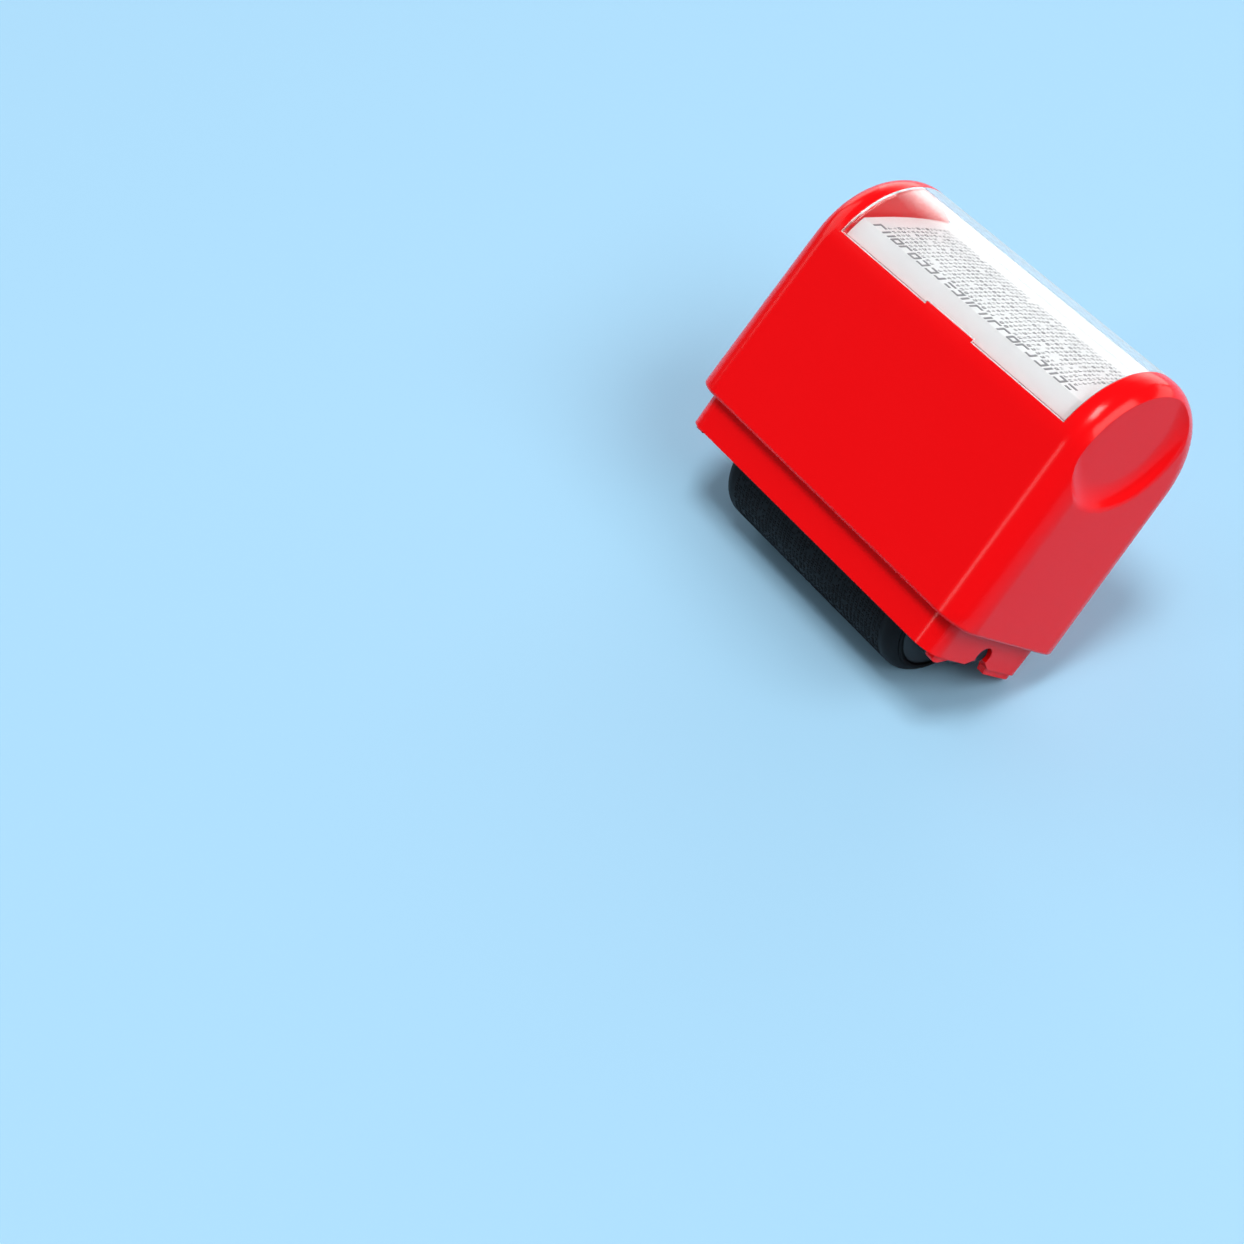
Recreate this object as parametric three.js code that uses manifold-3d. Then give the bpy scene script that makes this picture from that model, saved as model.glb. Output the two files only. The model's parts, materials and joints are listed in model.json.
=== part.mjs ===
// A hand-held roller stamp that prints a masking pattern, leaning back on its roller as it rests.
// Millimetres. Inside the stamp X runs along the print roller, Y to the back, Z up through the window,
// and the origin is on the roller's axis. The exported group is the stamp leant back on the table, +Z up.
import * as THREE from 'three';
import { mergeVertices } from 'three/addons/utils/BufferGeometryUtils.js';
import Module from 'manifold-3d';

const wasm = await Module();
wasm.setup();

// Clearances
const SEAT_GAP = 0.3; // between pieces that rest on each other
const FIT_GAP = 0.2; // round pieces pressed together
const RUN_GAP = 0.15; // round pieces that turn in each other
const SLIDE_GAP = 0.3; // pieces that slide past each other
const OVERRUN = 4; // how far a cutting tool runs past what it cuts

// Housing: a hood with a half-round top
const HOUSING_LENGTH = 65;
const HOUSING_DEPTH = 30.4;
const HOUSING_WALL = 1;
const RIM_HEIGHT = 3.9; // its lower edge over the roller's axis
const ARCH_DRAW = 0.4; // the arch's sides inside the rim's
const ARCH_RADIUS = HOUSING_DEPTH / 2 - ARCH_DRAW;
const DECK_ROOM = 3.8; // from the lid's top up to the arch's centre
const CORNER_ROUND = 5.3; // the round between sides and ends
const RIM_ROUND = 0.7;
const END_LEAN = 1.35; // how far each end leans in at the top

// Thumb dishes, one sunk into each end of the housing and open towards its front and top
const DISH_MARGIN = 1.4;
const DISH_RADIUS = ARCH_RADIUS - DISH_MARGIN;
const DISH_DEPTH = 1.6;
const DISH_SLOPE = 0.68; // radians of its wall where it is steepest
const DISH_LIP = 1.9; // the round from the wall out to the end's face
const DISH_LIP_END = 0.14; // radians that the lip still has on the end's face
const DISH_RISE = 6.9; // its middle over the arch's centre
const DISH_FORWARD = 6.3; // its middle to the front of the stamp's middle

// Window and the deck that carries the label card
const WINDOW_MARGIN = 7.4; // from the housing's end to the window's
const WINDOW_LENGTH = HOUSING_LENGTH - 2 * WINDOW_MARGIN;
const WINDOW_WALL = 1;
const WINDOW_EDGE = 2.95; // its long edges over the arch's centre
const LIP_LENGTH = 10.3; // finger lip on the front sill
const LIP_HEIGHT = 0.55;
const CARD_FOLD = 6; // the card's front fold over the arch's centre
const CARD_SLOPE = 0.29; // radians that its flat face rises towards the back
const CARD_WALL = 0.35;

// Housing ribs that guide the frame's ends and stop on the lid
const RIB_WALL = 1.2;
const RIB_SPREAD = 16; // between the two ribs of an end
const RIB_REACH = 1.6; // how far a stop reaches over the lid
const RIB_HEIGHT = 4.5; // above the lid

// Frame: the inner box that carries both rollers
const BAND_SET_ENDS = 2.5; // the band that shows under the rim, inside the housing's ends
const BAND_SET_SIDES = 1.8;
const BAND_LENGTH = HOUSING_LENGTH - 2 * BAND_SET_ENDS;
const BAND_DEPTH = HOUSING_DEPTH - 2 * BAND_SET_SIDES;
const BAND_ROUND = 3.6;
const BAND_LOW = 1.85; // its front and back edges under the roller's axis
const BAND_RISE = 6; // its top over the roller's axis
const TOWER_SET_ENDS = 1.4; // the walls above the band, inside its ends
const TOWER_SET_SIDES = 0.5;
const TOWER_LENGTH = BAND_LENGTH - 2 * TOWER_SET_ENDS;
const TOWER_DEPTH = BAND_DEPTH - 2 * TOWER_SET_SIDES;
const TOWER_ROUND = 3;
const TOWER_WALL = 1.3;
const PLATE_WALL = 1.8; // the end walls down at the roller's axle
const FOOT_DROP = 2.9; // the feet under the roller's axis
const FOOT_INSET = 0.4; // the feet's outer faces inside the band's
const FOOT_ROUND = 0.6;
const FRONT_FOOT_SET = 2.6; // the front feet's front, behind the band's
const FRONT_FOOT_FLAT = 1.6; // the length of their flat
const FRONT_FOOT_RAMP = 2.7;
const REAR_FOOT_IN = 3.8;
const FRONT_CORNER = 3.2; // what is left of the front wall's feet at each end
const REAR_CORNER = 5;
const MOUTH_WIDTH = 6.6; // of the axle's slot
const SEAT_WRAP = 0.5; // radians of the slot's seat below the axis

// Print roller
const ROLLER_ROOM = 1.2; // between the roller and the frame's front and back walls
const HUB_ROOM = 6.8; // from the roller's end to the frame's end wall
const ROLLER_ROUND = 2.4;
const SLEEVE_WALL = 1.6;
const CORE_BORE_SHARE = 0.49; // the core's bore as a share of its outside
const HUB_RADIUS = 5.6;
const HUB_FLANGE = 2.4;
const HUB_COLLAR = 4;
const HUB_LENGTH = 5;
const SPIGOT_LENGTH = 6;
const AXLE_SHARE = 0.6; // the axle as a share of the core's bore
const JOURNAL_RADIUS = 1.5;
const JOURNAL_INSET = 0.5; // the axle's end inside the frame's outer face
const CLIP_WALL = 0.45;
const CLIP_RADIUS = 4;
const CLIP_BITE = 0.4; // depth of its groove
const CLIP_OPENING = 0.6; // radians on either side of its mouth
const CHAMFER = 0.3;

// Ink roller
const INK_RADIUS = 6.2;
const INK_SHORT = 0.4; // its ends inside the print roller's
const FELT_WALL = 3;
const INK_TUBE_WALL = 1.5;
const INK_AXLE_RADIUS = 1;
const CAP_RADIUS = 5.4;
const CAP_WALL = 1;
const COLLAR_RADIUS = 2.2;

// Carrier of the ink roller, its springs and the lid
const ARM_WALL = 1.6;
const ARM_WIDTH = 9.2;
const ARM_DROP = 3; // below the ink roller's axis
const ARM_ROUND = 2.5;
const BRIDGE_WALL = 1.1;
const BRIDGE_GAP = 0.9; // over the felt
const RAIL_WALL = 1.2;
const RAIL_DROP = 4.4; // below the ink roller's axis
const RAIL_GAP = 1.5; // below the walls' top
const LID_WALL = 1;
const LID_INSET = 0.5; // its edge inside the frame's faces
const SKIRT_DROP = 1.3;
const SKIRT_WALL = 1;
const PORT_SHORT = 6; // the ink port's ends inside the ink roller's
const PORT_WIDTH = 3;
const SPRING_ROOM = 2.9; // from the carrier's bridge up to the walls' top
const SPRING_SET = 2; // the springs' middles outside the port's ends
const SPRING_RADIUS = 1.75; // to the middle of the wire
const SPRING_WIRE = 0.4;
const SPRING_TURNS = 2.5;
const PEG_RADIUS = 1.1;
const PEG_HEIGHT = 0.7;

// Facets of the round forms
const ARCH_STEPS = 14;
const CORNER_STEPS = 6;
const SMALL_STEPS = 3;
const DISH_STEPS = 6;
const DISH_SIDES = 44;
const ROUND_SIDES = 40;
const THIN_SIDES = 24;
const PEG_SIDES = 12;
const CURL_STEPS = 8;
const WIRE_SIDES = 5;

// Places that follow from the sizes above
const WELL_LENGTH = TOWER_LENGTH - 2 * TOWER_WALL;
const WELL_DEPTH = TOWER_DEPTH - 2 * TOWER_WALL;
const WELL_ROUND = TOWER_ROUND - TOWER_WALL;
const POCKET_LENGTH = BAND_LENGTH - 2 * PLATE_WALL; // the well's lower part, between the end plates
const ROLLER_RADIUS = WELL_DEPTH / 2 - ROLLER_ROOM;
const ROLLER_LENGTH = POCKET_LENGTH - 2 * HUB_ROOM;
const CORE_RADIUS = ROLLER_RADIUS - SLEEVE_WALL - FIT_GAP;
const CORE_BORE = CORE_RADIUS * CORE_BORE_SHARE; // its radius
const AXLE_RADIUS = CORE_BORE * AXLE_SHARE;
const DRUM_END = ROLLER_LENGTH / 2;
const HUB_START = DRUM_END + FIT_GAP;
const HUB_END = HUB_START + HUB_LENGTH;
const CLIP_START = HUB_END + RUN_GAP;
const SHAFT_END = POCKET_LENGTH / 2 - SLIDE_GAP;
const INK_LENGTH = ROLLER_LENGTH - 2 * INK_SHORT;
const INK_AXIS = ROLLER_RADIUS + INK_RADIUS + SEAT_GAP;
const ARM_OUT = WELL_LENGTH / 2 - SLIDE_GAP;
const ARM_IN = ARM_OUT - ARM_WALL;
const BRIDGE_LOW = INK_AXIS + INK_RADIUS + BRIDGE_GAP;
const BRIDGE_HIGH = BRIDGE_LOW + BRIDGE_WALL;
const PORT_LENGTH = INK_LENGTH - 2 * PORT_SHORT;
const SPRING_SPREAD = PORT_LENGTH + 2 * SPRING_SET;
const TOWER_HEIGHT = BRIDGE_HIGH + SPRING_ROOM;
const LID_LOW = TOWER_HEIGHT + SEAT_GAP;
const LID_HIGH = LID_LOW + LID_WALL;
const ARCH_CENTRE = LID_HIGH + DECK_ROOM;
const SIDE_HEIGHT = ARCH_CENTRE - RIM_HEIGHT;
const HOUSING_TOP = ARCH_CENTRE + ARCH_RADIUS;
const SILL = ARCH_CENTRE + WINDOW_EDGE - SEAT_GAP;
const CARD_ARCH = ARCH_RADIUS - WINDOW_WALL - SEAT_GAP; // the card's flanks follow the window
const FOLD_IN = Math.sqrt(CARD_ARCH * CARD_ARCH - CARD_FOLD * CARD_FOLD);
// From the arch's centre to the card's flat face
const CARD_RISE = CARD_FOLD * Math.cos(CARD_SLOPE) + FOLD_IN * Math.sin(CARD_SLOPE);
const DECK_INSET = CARD_WALL + SEAT_GAP; // from the card's face down to the deck's
const DISH_MIDDLE = ARCH_CENTRE + DISH_RISE;

const RED = { color: 0xe8090f, roughness: 0.22, metalness: 0 };
const BLACK = { color: 0x141218, roughness: 0.5, metalness: 0 };
const WHITE = { color: 0xf6f6f4, roughness: 0.6, metalness: 0 };
const STEEL = { color: 0xb9bcc0, roughness: 0.3, metalness: 1 };
const RUBBER = { color: 0x1a181d, roughness: 0.6, metalness: 0 };
const FELT = { color: 0x1c1f2b, roughness: 0.95, metalness: 0 };
const CLEAR = { color: 0xf4f8fb, roughness: 0.05, metalness: 0, transparent: true, opacity: 0.3 };

// A closed three.js geometry as a solid that can be joined and cut.
function toSolid(geometry) {
  const bare = geometry.clone();
  for (const name of Object.keys(bare.attributes)) {
    if (name !== 'position') bare.deleteAttribute(name);
  }
  const merged = mergeVertices(bare);
  const vertProperties = merged.attributes.position.array;
  const triVerts = new Uint32Array(merged.index.array);
  return new wasm.Manifold(new wasm.Mesh({ numProp: 3, vertProperties, triVerts }));
}

// A solid as a named mesh with its own material.
function toMesh(solid, name, finish) {
  const { vertProperties, triVerts } = solid.getMesh();
  const geometry = new THREE.BufferGeometry();
  geometry.setAttribute('position', new THREE.BufferAttribute(vertProperties, 3));
  geometry.setIndex(new THREE.BufferAttribute(triVerts, 1));
  geometry.computeVertexNormals();
  const mesh = new THREE.Mesh(geometry, new THREE.MeshStandardMaterial(finish));
  mesh.name = name;
  return mesh;
}

// A box between two corners.
function block(low, high) {
  const size = high.map((value, i) => value - low[i]);
  const middle = high.map((value, i) => (value + low[i]) / 2);
  return toSolid(new THREE.BoxGeometry(...size).translate(...middle));
}

// An outline drawn in Y and Z, extruded from one X to another.
function prismX(shape, from, to, curveSegments = SMALL_STEPS) {
  const turn = new THREE.Matrix4().set(0, 0, 1, from, 1, 0, 0, 0, 0, 1, 0, 0, 0, 0, 0, 1);
  const options = { depth: to - from, bevelEnabled: false, curveSegments };
  return toSolid(new THREE.ExtrudeGeometry(shape, options).applyMatrix4(turn));
}

// An outline drawn in X and Z, extruded from one Y to another.
function prismY(shape, from, to, curveSegments = SMALL_STEPS) {
  const turn = new THREE.Matrix4().set(1, 0, 0, 0, 0, 0, -1, to, 0, 1, 0, 0, 0, 0, 0, 1);
  const options = { depth: to - from, bevelEnabled: false, curveSegments };
  return toSolid(new THREE.ExtrudeGeometry(shape, options).applyMatrix4(turn));
}

// An outline drawn in X and Y, extruded from one Z to another.
function prismZ(shape, from, to, curveSegments = SMALL_STEPS) {
  const options = { depth: to - from, bevelEnabled: false, curveSegments };
  return toSolid(new THREE.ExtrudeGeometry(shape, options).translate(0, 0, from));
}

// A profile of [radius, x] points turned about the X axis, or about a line beside it at height z.
function turned(profile, sides, z = 0) {
  const points = profile.map(([radius, x]) => new THREE.Vector2(radius, x));
  const geometry = new THREE.LatheGeometry(points, sides);
  return toSolid(geometry.rotateZ(-Math.PI / 2).translate(0, 0, z));
}

// A tube's profile between two X, with its outer edges rounded or broken by a small radius.
function ringProfile(bore, radius, from, to, edge = 0, steps = 1) {
  const points = [[bore, from]];
  for (let i = 0; i <= steps; i++) {
    const angle = (i / steps) * (Math.PI / 2);
    points.push([radius - edge * (1 - Math.sin(angle)), from + edge * (1 - Math.cos(angle))]);
  }
  for (let i = steps; i >= 0; i--) {
    const angle = (i / steps) * (Math.PI / 2);
    points.push([radius - edge * (1 - Math.sin(angle)), to - edge * (1 - Math.cos(angle))]);
  }
  points.push([bore, to], [bore, from]);
  return points;
}

// A rectangle about the origin with round corners.
function roundedRectangle(halfWidth, halfHeight, round) {
  const shape = new THREE.Shape();
  const x = halfWidth - round;
  const y = halfHeight - round;
  shape.moveTo(x, -halfHeight);
  shape.absarc(x, -y, round, -Math.PI / 2, 0, false);
  shape.absarc(x, y, round, 0, Math.PI / 2, false);
  shape.absarc(-x, y, round, Math.PI / 2, Math.PI, false);
  shape.absarc(-x, -y, round, Math.PI, Math.PI * 1.5, false);
  shape.closePath();
  return shape;
}

// A slot's outline with round ends, for the ink port.
function portShape(length, width) {
  return roundedRectangle(length / 2, width / 2, width / 2 - CHAMFER);
}

// Draws the ends in as they rise, so that each leans inwards by END_LEAN at the top.
function leanEnds(geometry) {
  const place = geometry.attributes.position;
  const slope = END_LEAN / (HOUSING_TOP - RIM_HEIGHT) / (HOUSING_LENGTH / 2);
  for (let i = 0; i < place.count; i++) {
    place.setX(i, place.getX(i) * (1 - slope * (place.getZ(i) - RIM_HEIGHT)));
  }
  return geometry;
}

// The housing's form, drawn in by inset on every side, and open past the rim.
function hood(inset) {
  const round = CORNER_ROUND - inset;
  const radius = ARCH_RADIUS - inset;
  const low = RIM_HEIGHT - CORNER_ROUND - OVERRUN;
  const spread = (HOUSING_DEPTH / 2 - ARCH_RADIUS) / SIDE_HEIGHT;
  const halfDepth = radius + spread * (ARCH_CENTRE - low);
  const shape = new THREE.Shape();
  shape.moveTo(-halfDepth, low);
  shape.lineTo(halfDepth, low);
  shape.lineTo(radius, ARCH_CENTRE);
  shape.absarc(0, ARCH_CENTRE, radius, 0, Math.PI, false);
  shape.closePath();
  const depth = HOUSING_LENGTH - 2 * inset - 2 * round;
  const bevel = { bevelThickness: round, bevelSize: round, bevelOffset: -round };
  const options = { depth, ...bevel, bevelSegments: CORNER_STEPS, curveSegments: ARCH_STEPS };
  const turn = new THREE.Matrix4().set(0, 0, 1, -depth / 2, 1, 0, 0, 0, 0, 1, 0, 0, 0, 0, 0, 1);
  const geometry = new THREE.ExtrudeGeometry(shape, options).applyMatrix4(turn);
  return toSolid(leanEnds(geometry));
}

// The plug that sinks a thumb dish into one end, grown by wall for the pad behind it. Its floor is parallel
// to the end's face, and its wall rises in a hollow round and rolls out in a lip. Heights are from the face.
function dishTool(side, wall) {
  const rounds = DISH_DEPTH / (1 - Math.cos(DISH_SLOPE)); // both rounds' radii together
  const flat = DISH_RADIUS - rounds * Math.sin(DISH_SLOPE);
  const hollow = rounds - DISH_LIP;
  const profile = [new THREE.Vector2(0, -DISH_DEPTH - wall)];
  for (let i = 0; i <= DISH_STEPS; i++) {
    const angle = (i / DISH_STEPS) * DISH_SLOPE;
    const radius = hollow + wall;
    const height = hollow - DISH_DEPTH - radius * Math.cos(angle);
    profile.push(new THREE.Vector2(flat + radius * Math.sin(angle), height));
  }
  for (let i = 1; i <= SMALL_STEPS; i++) {
    const angle = DISH_SLOPE - (i / SMALL_STEPS) * (DISH_SLOPE - DISH_LIP_END);
    const radius = DISH_LIP - wall;
    const height = radius * Math.cos(angle) - DISH_LIP;
    profile.push(new THREE.Vector2(DISH_RADIUS - radius * Math.sin(angle), height));
  }
  const last = profile[profile.length - 1];
  const rise = OVERRUN * Math.tan(DISH_LIP_END);
  profile.push(new THREE.Vector2(last.x + OVERRUN, last.y + rise));
  profile.push(new THREE.Vector2(last.x + OVERRUN, OVERRUN), new THREE.Vector2(0, OVERRUN));
  const slope = END_LEAN / (HOUSING_TOP - RIM_HEIGHT);
  const face = HOUSING_LENGTH / 2 - slope * (DISH_MIDDLE - RIM_HEIGHT);
  const geometry = new THREE.LatheGeometry(profile, DISH_SIDES);
  geometry.rotateZ((-side * Math.PI) / 2).rotateY(-side * Math.atan(slope));
  return toSolid(geometry.translate(side * face, -DISH_FORWARD, DISH_MIDDLE));
}

// Both thumb dishes' plugs.
function dishes(wall) {
  return dishTool(-1, wall).add(dishTool(1, wall));
}

// The right end's solid together with its copy at the left end.
function bothEnds(solid) {
  return solid.add(solid.rotate([0, 0, 180]));
}

// The label card's outline, drawn in by inset: flanks that follow the window, and a flat face between them
// that rises towards the back.
function deckShape(inset) {
  const flank = CARD_ARCH - inset;
  const middle = Math.PI / 2 + CARD_SLOPE;
  const half = Math.acos((CARD_RISE - inset) / flank);
  const shape = new THREE.Shape();
  shape.moveTo(flank, ARCH_CENTRE);
  shape.absarc(0, ARCH_CENTRE, flank, 0, middle - half, false);
  shape.absarc(0, ARCH_CENTRE, flank, middle + half, Math.PI, false);
  shape.closePath();
  return shape;
}

// The space over the deck, grown by wall on every side that the housing closes.
function windowRecess(wall) {
  const halfLength = WINDOW_LENGTH / 2 + SEAT_GAP + wall;
  const high = HOUSING_TOP + OVERRUN;
  const all = block([-halfLength, -HOUSING_DEPTH, SILL - wall], [halfLength, HOUSING_DEPTH, high]);
  return all.subtract(prismX(deckShape(DECK_INSET + wall), -HOUSING_LENGTH, HOUSING_LENGTH, CORNER_STEPS));
}

// The strip of sill that a fingernail lifts the window against.
function fingerLip(grow) {
  const half = LIP_LENGTH / 2 + grow;
  const inner = Math.sqrt((ARCH_RADIUS - WINDOW_WALL) ** 2 - WINDOW_EDGE ** 2);
  const high = SILL + LIP_HEIGHT + grow;
  return block([-half, -HOUSING_DEPTH, SILL - OVERRUN], [half, -inner + grow, high]);
}

// One rib at the right end: a guide beside the frame's end and a stop over the lid.
function guideRib(y) {
  const guide = TOWER_LENGTH / 2 + SLIDE_GAP;
  const stop = LID_HIGH + SEAT_GAP;
  const shape = new THREE.Shape();
  shape.moveTo(guide, BAND_RISE + SLIDE_GAP);
  shape.lineTo(HOUSING_LENGTH / 2 - HOUSING_WALL / 2, BAND_RISE + SLIDE_GAP);
  shape.lineTo(HOUSING_LENGTH / 2 - HOUSING_WALL / 2, stop + RIB_HEIGHT);
  shape.lineTo(guide, stop + RIB_HEIGHT);
  shape.lineTo(guide - SLIDE_GAP - RIB_REACH, stop);
  shape.lineTo(guide, stop);
  shape.closePath();
  return prismY(shape, y - RIB_WALL / 2, y + RIB_WALL / 2);
}

// A block with the rim's outline and round lower edges, which bounds the housing below.
function rimBlock() {
  const round = { bevelThickness: RIM_ROUND, bevelSize: RIM_ROUND, bevelOffset: -RIM_ROUND };
  const plan = roundedRectangle(HOUSING_LENGTH / 2, HOUSING_DEPTH / 2, CORNER_ROUND);
  const options = { depth: HOUSING_TOP, ...round, bevelSegments: SMALL_STEPS, curveSegments: CORNER_STEPS };
  return toSolid(new THREE.ExtrudeGeometry(plan, options).translate(0, 0, RIM_HEIGHT + RIM_ROUND));
}

function housing() {
  const outer = hood(0).intersect(rimBlock()).subtract(dishes(0));
  const recess = windowRecess(0).subtract(fingerLip(0));
  const pads = dishes(HOUSING_WALL);
  const cavity = hood(HOUSING_WALL).subtract(pads).subtract(windowRecess(HOUSING_WALL));
  const ribs = bothEnds(guideRib(-RIB_SPREAD / 2).add(guideRib(RIB_SPREAD / 2)));
  const port = prismZ(portShape(PORT_LENGTH, PORT_WIDTH), ARCH_CENTRE, HOUSING_TOP);
  const shell = outer.subtract(cavity).add(ribs.intersect(outer));
  return toMesh(shell.subtract(recess).subtract(port), 'housing', RED);
}

function windowPane() {
  const inner = ARCH_RADIUS - WINDOW_WALL;
  const outerAngle = Math.asin(WINDOW_EDGE / ARCH_RADIUS);
  const innerAngle = Math.asin(WINDOW_EDGE / inner);
  const shape = new THREE.Shape();
  shape.absarc(0, ARCH_CENTRE, ARCH_RADIUS, outerAngle, Math.PI - outerAngle, false);
  shape.absarc(0, ARCH_CENTRE, inner, Math.PI - innerAngle, innerAngle, true);
  shape.closePath();
  const pane = prismX(shape, -WINDOW_LENGTH / 2, WINDOW_LENGTH / 2, ARCH_STEPS);
  return toMesh(pane.subtract(fingerLip(SEAT_GAP)), 'window', CLEAR);
}

function labelCard() {
  const half = WINDOW_LENGTH / 2 - SEAT_GAP;
  const full = prismX(deckShape(0), -half, half, CORNER_STEPS);
  const under = prismX(deckShape(CARD_WALL), -HOUSING_LENGTH, HOUSING_LENGTH, CORNER_STEPS);
  const low = block(
    [-HOUSING_LENGTH, -HOUSING_DEPTH, 0],
    [HOUSING_LENGTH, HOUSING_DEPTH, SILL + SEAT_GAP],
  );
  return toMesh(full.subtract(under).subtract(low), 'label_card', WHITE);
}

// The frame seen from its end: feet at the corners, and the slot that the axle snaps into.
function frameEndShape() {
  const half = BAND_DEPTH / 2;
  const mouth = MOUTH_WIDTH / 2;
  const bottom = FOOT_ROUND - FOOT_DROP;
  const front = FRONT_FOOT_SET - half;
  const flat = front + FRONT_FOOT_FLAT;
  const shape = new THREE.Shape();
  shape.moveTo(half, TOWER_HEIGHT);
  shape.lineTo(-half, TOWER_HEIGHT);
  shape.lineTo(-half, -BAND_LOW);
  shape.lineTo(front, -BAND_LOW);
  shape.absarc(front + FOOT_ROUND, bottom, FOOT_ROUND, Math.PI, Math.PI * 1.5, false);
  shape.lineTo(flat, -FOOT_DROP);
  shape.lineTo(flat + FRONT_FOOT_RAMP, -BAND_LOW);
  shape.lineTo(-mouth, -BAND_LOW);
  shape.absarc(0, 0, JOURNAL_RADIUS + RUN_GAP, Math.PI + SEAT_WRAP, -SEAT_WRAP, true);
  shape.lineTo(mouth, -BAND_LOW);
  shape.lineTo(REAR_FOOT_IN, -FOOT_DROP);
  shape.absarc(half - FOOT_ROUND, bottom, FOOT_ROUND, Math.PI * 1.5, Math.PI * 2, false);
  shape.closePath();
  return shape;
}

// What is cut away below the front or back wall, between the feet.
function bellyShape(corner) {
  const ramp = FOOT_DROP - BAND_LOW;
  const half = BAND_LENGTH / 2 - corner;
  const low = -FOOT_DROP - OVERRUN;
  const shape = new THREE.Shape();
  shape.moveTo(-half - ramp, low);
  shape.lineTo(half + ramp, low);
  shape.lineTo(half + ramp, -FOOT_DROP);
  shape.lineTo(half, -BAND_LOW);
  shape.lineTo(-half, -BAND_LOW);
  shape.lineTo(-half - ramp, -FOOT_DROP);
  shape.closePath();
  return shape;
}

// The two rails of one end that the carrier's arm slides between.
function armRails(side) {
  const inner = ARM_WIDTH / 2 + SLIDE_GAP;
  const near = side * ARM_IN;
  const far = side * (WELL_LENGTH / 2 + TOWER_WALL / 2);
  const x = [Math.min(near, far), Math.max(near, far)];
  const low = INK_AXIS - RAIL_DROP;
  const high = TOWER_HEIGHT - RAIL_GAP;
  const front = block([x[0], -inner - RAIL_WALL, low], [x[1], -inner, high]);
  const back = block([x[0], inner, low], [x[1], inner + RAIL_WALL, high]);
  return front.add(back);
}

function innerFrame() {
  const band = roundedRectangle(BAND_LENGTH / 2, BAND_DEPTH / 2, BAND_ROUND);
  const tower = roundedRectangle(TOWER_LENGTH / 2, TOWER_DEPTH / 2, TOWER_ROUND);
  const well = roundedRectangle(WELL_LENGTH / 2, WELL_DEPTH / 2, WELL_ROUND);
  const pocket = roundedRectangle(POCKET_LENGTH / 2, WELL_DEPTH / 2, WELL_ROUND);
  const feet = roundedRectangle(BAND_LENGTH / 2 - FOOT_INSET, BAND_DEPTH / 2, BAND_ROUND);
  const lowWalls = prismZ(feet, -FOOT_DROP, RIM_HEIGHT).add(prismZ(band, -BAND_LOW, BAND_RISE));
  const walls = lowWalls.add(prismZ(tower, RIM_HEIGHT, TOWER_HEIGHT));
  const end = prismX(frameEndShape(), -HOUSING_LENGTH, HOUSING_LENGTH, CORNER_STEPS);
  const hollow = prismZ(well, -FOOT_DROP - OVERRUN, TOWER_HEIGHT + OVERRUN);
  const lower = prismZ(pocket, -FOOT_DROP - OVERRUN, BAND_RISE - PLATE_WALL);
  const front = prismY(bellyShape(FRONT_CORNER), -HOUSING_DEPTH, 0);
  const back = prismY(bellyShape(REAR_CORNER), 0, HOUSING_DEPTH);
  const box = walls.intersect(end).subtract(hollow).subtract(lower).subtract(front).subtract(back);
  return toMesh(box.add(armRails(-1)).add(armRails(1)), 'inner_frame', RED);
}

function printSleeve() {
  const bore = ROLLER_RADIUS - SLEEVE_WALL;
  const profile = ringProfile(bore, ROLLER_RADIUS, -DRUM_END, DRUM_END, ROLLER_ROUND, CORNER_STEPS);
  return toMesh(turned(profile, ROUND_SIDES + THIN_SIDES), 'print_sleeve', RUBBER);
}

function printCore() {
  const end = DRUM_END - FIT_GAP;
  const profile = ringProfile(CORE_BORE, CORE_RADIUS, -end, end, CHAMFER);
  return toMesh(turned(profile, ROUND_SIDES), 'print_core', BLACK);
}

// An end hub of the print roller: a flange outside the drum and a spigot in the core's bore.
function printHub(side, name) {
  const bore = AXLE_RADIUS + FIT_GAP;
  const spigot = CORE_BORE - FIT_GAP;
  const tip = HUB_START - SPIGOT_LENGTH;
  const profile = [
    [bore, tip],
    [spigot - CHAMFER, tip],
    [spigot, tip + CHAMFER],
    [spigot, HUB_START],
    [HUB_RADIUS, HUB_START],
    [HUB_RADIUS, HUB_START + HUB_FLANGE - CHAMFER],
    [HUB_RADIUS - CHAMFER, HUB_START + HUB_FLANGE],
    [HUB_COLLAR, HUB_START + HUB_FLANGE],
    [HUB_COLLAR, HUB_END],
    [bore, HUB_END],
    [bore, tip],
  ];
  const hub = turned(profile, ROUND_SIDES);
  return toMesh(side > 0 ? hub : hub.rotate([0, 0, 180]), name, BLACK);
}

// The print roller's axle: a stout shaft with a clip groove and a slim journal at each end.
function printAxle() {
  const tip = BAND_LENGTH / 2 - JOURNAL_INSET;
  const groove = AXLE_RADIUS - CLIP_BITE;
  const grooveEnd = CLIP_START + CLIP_WALL + RUN_GAP;
  const half = [
    [AXLE_RADIUS, CLIP_START - RUN_GAP],
    [groove, CLIP_START - RUN_GAP],
    [groove, grooveEnd],
    [AXLE_RADIUS, grooveEnd],
    [AXLE_RADIUS, SHAFT_END],
    [JOURNAL_RADIUS, SHAFT_END],
    [JOURNAL_RADIUS, tip - CHAMFER],
    [JOURNAL_RADIUS - CHAMFER, tip],
    [0, tip],
  ];
  const mirrored = half.map(([radius, x]) => [radius, -x]).reverse();
  return toMesh(turned([...mirrored, ...half], THIN_SIDES), 'print_axle', STEEL);
}

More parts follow.
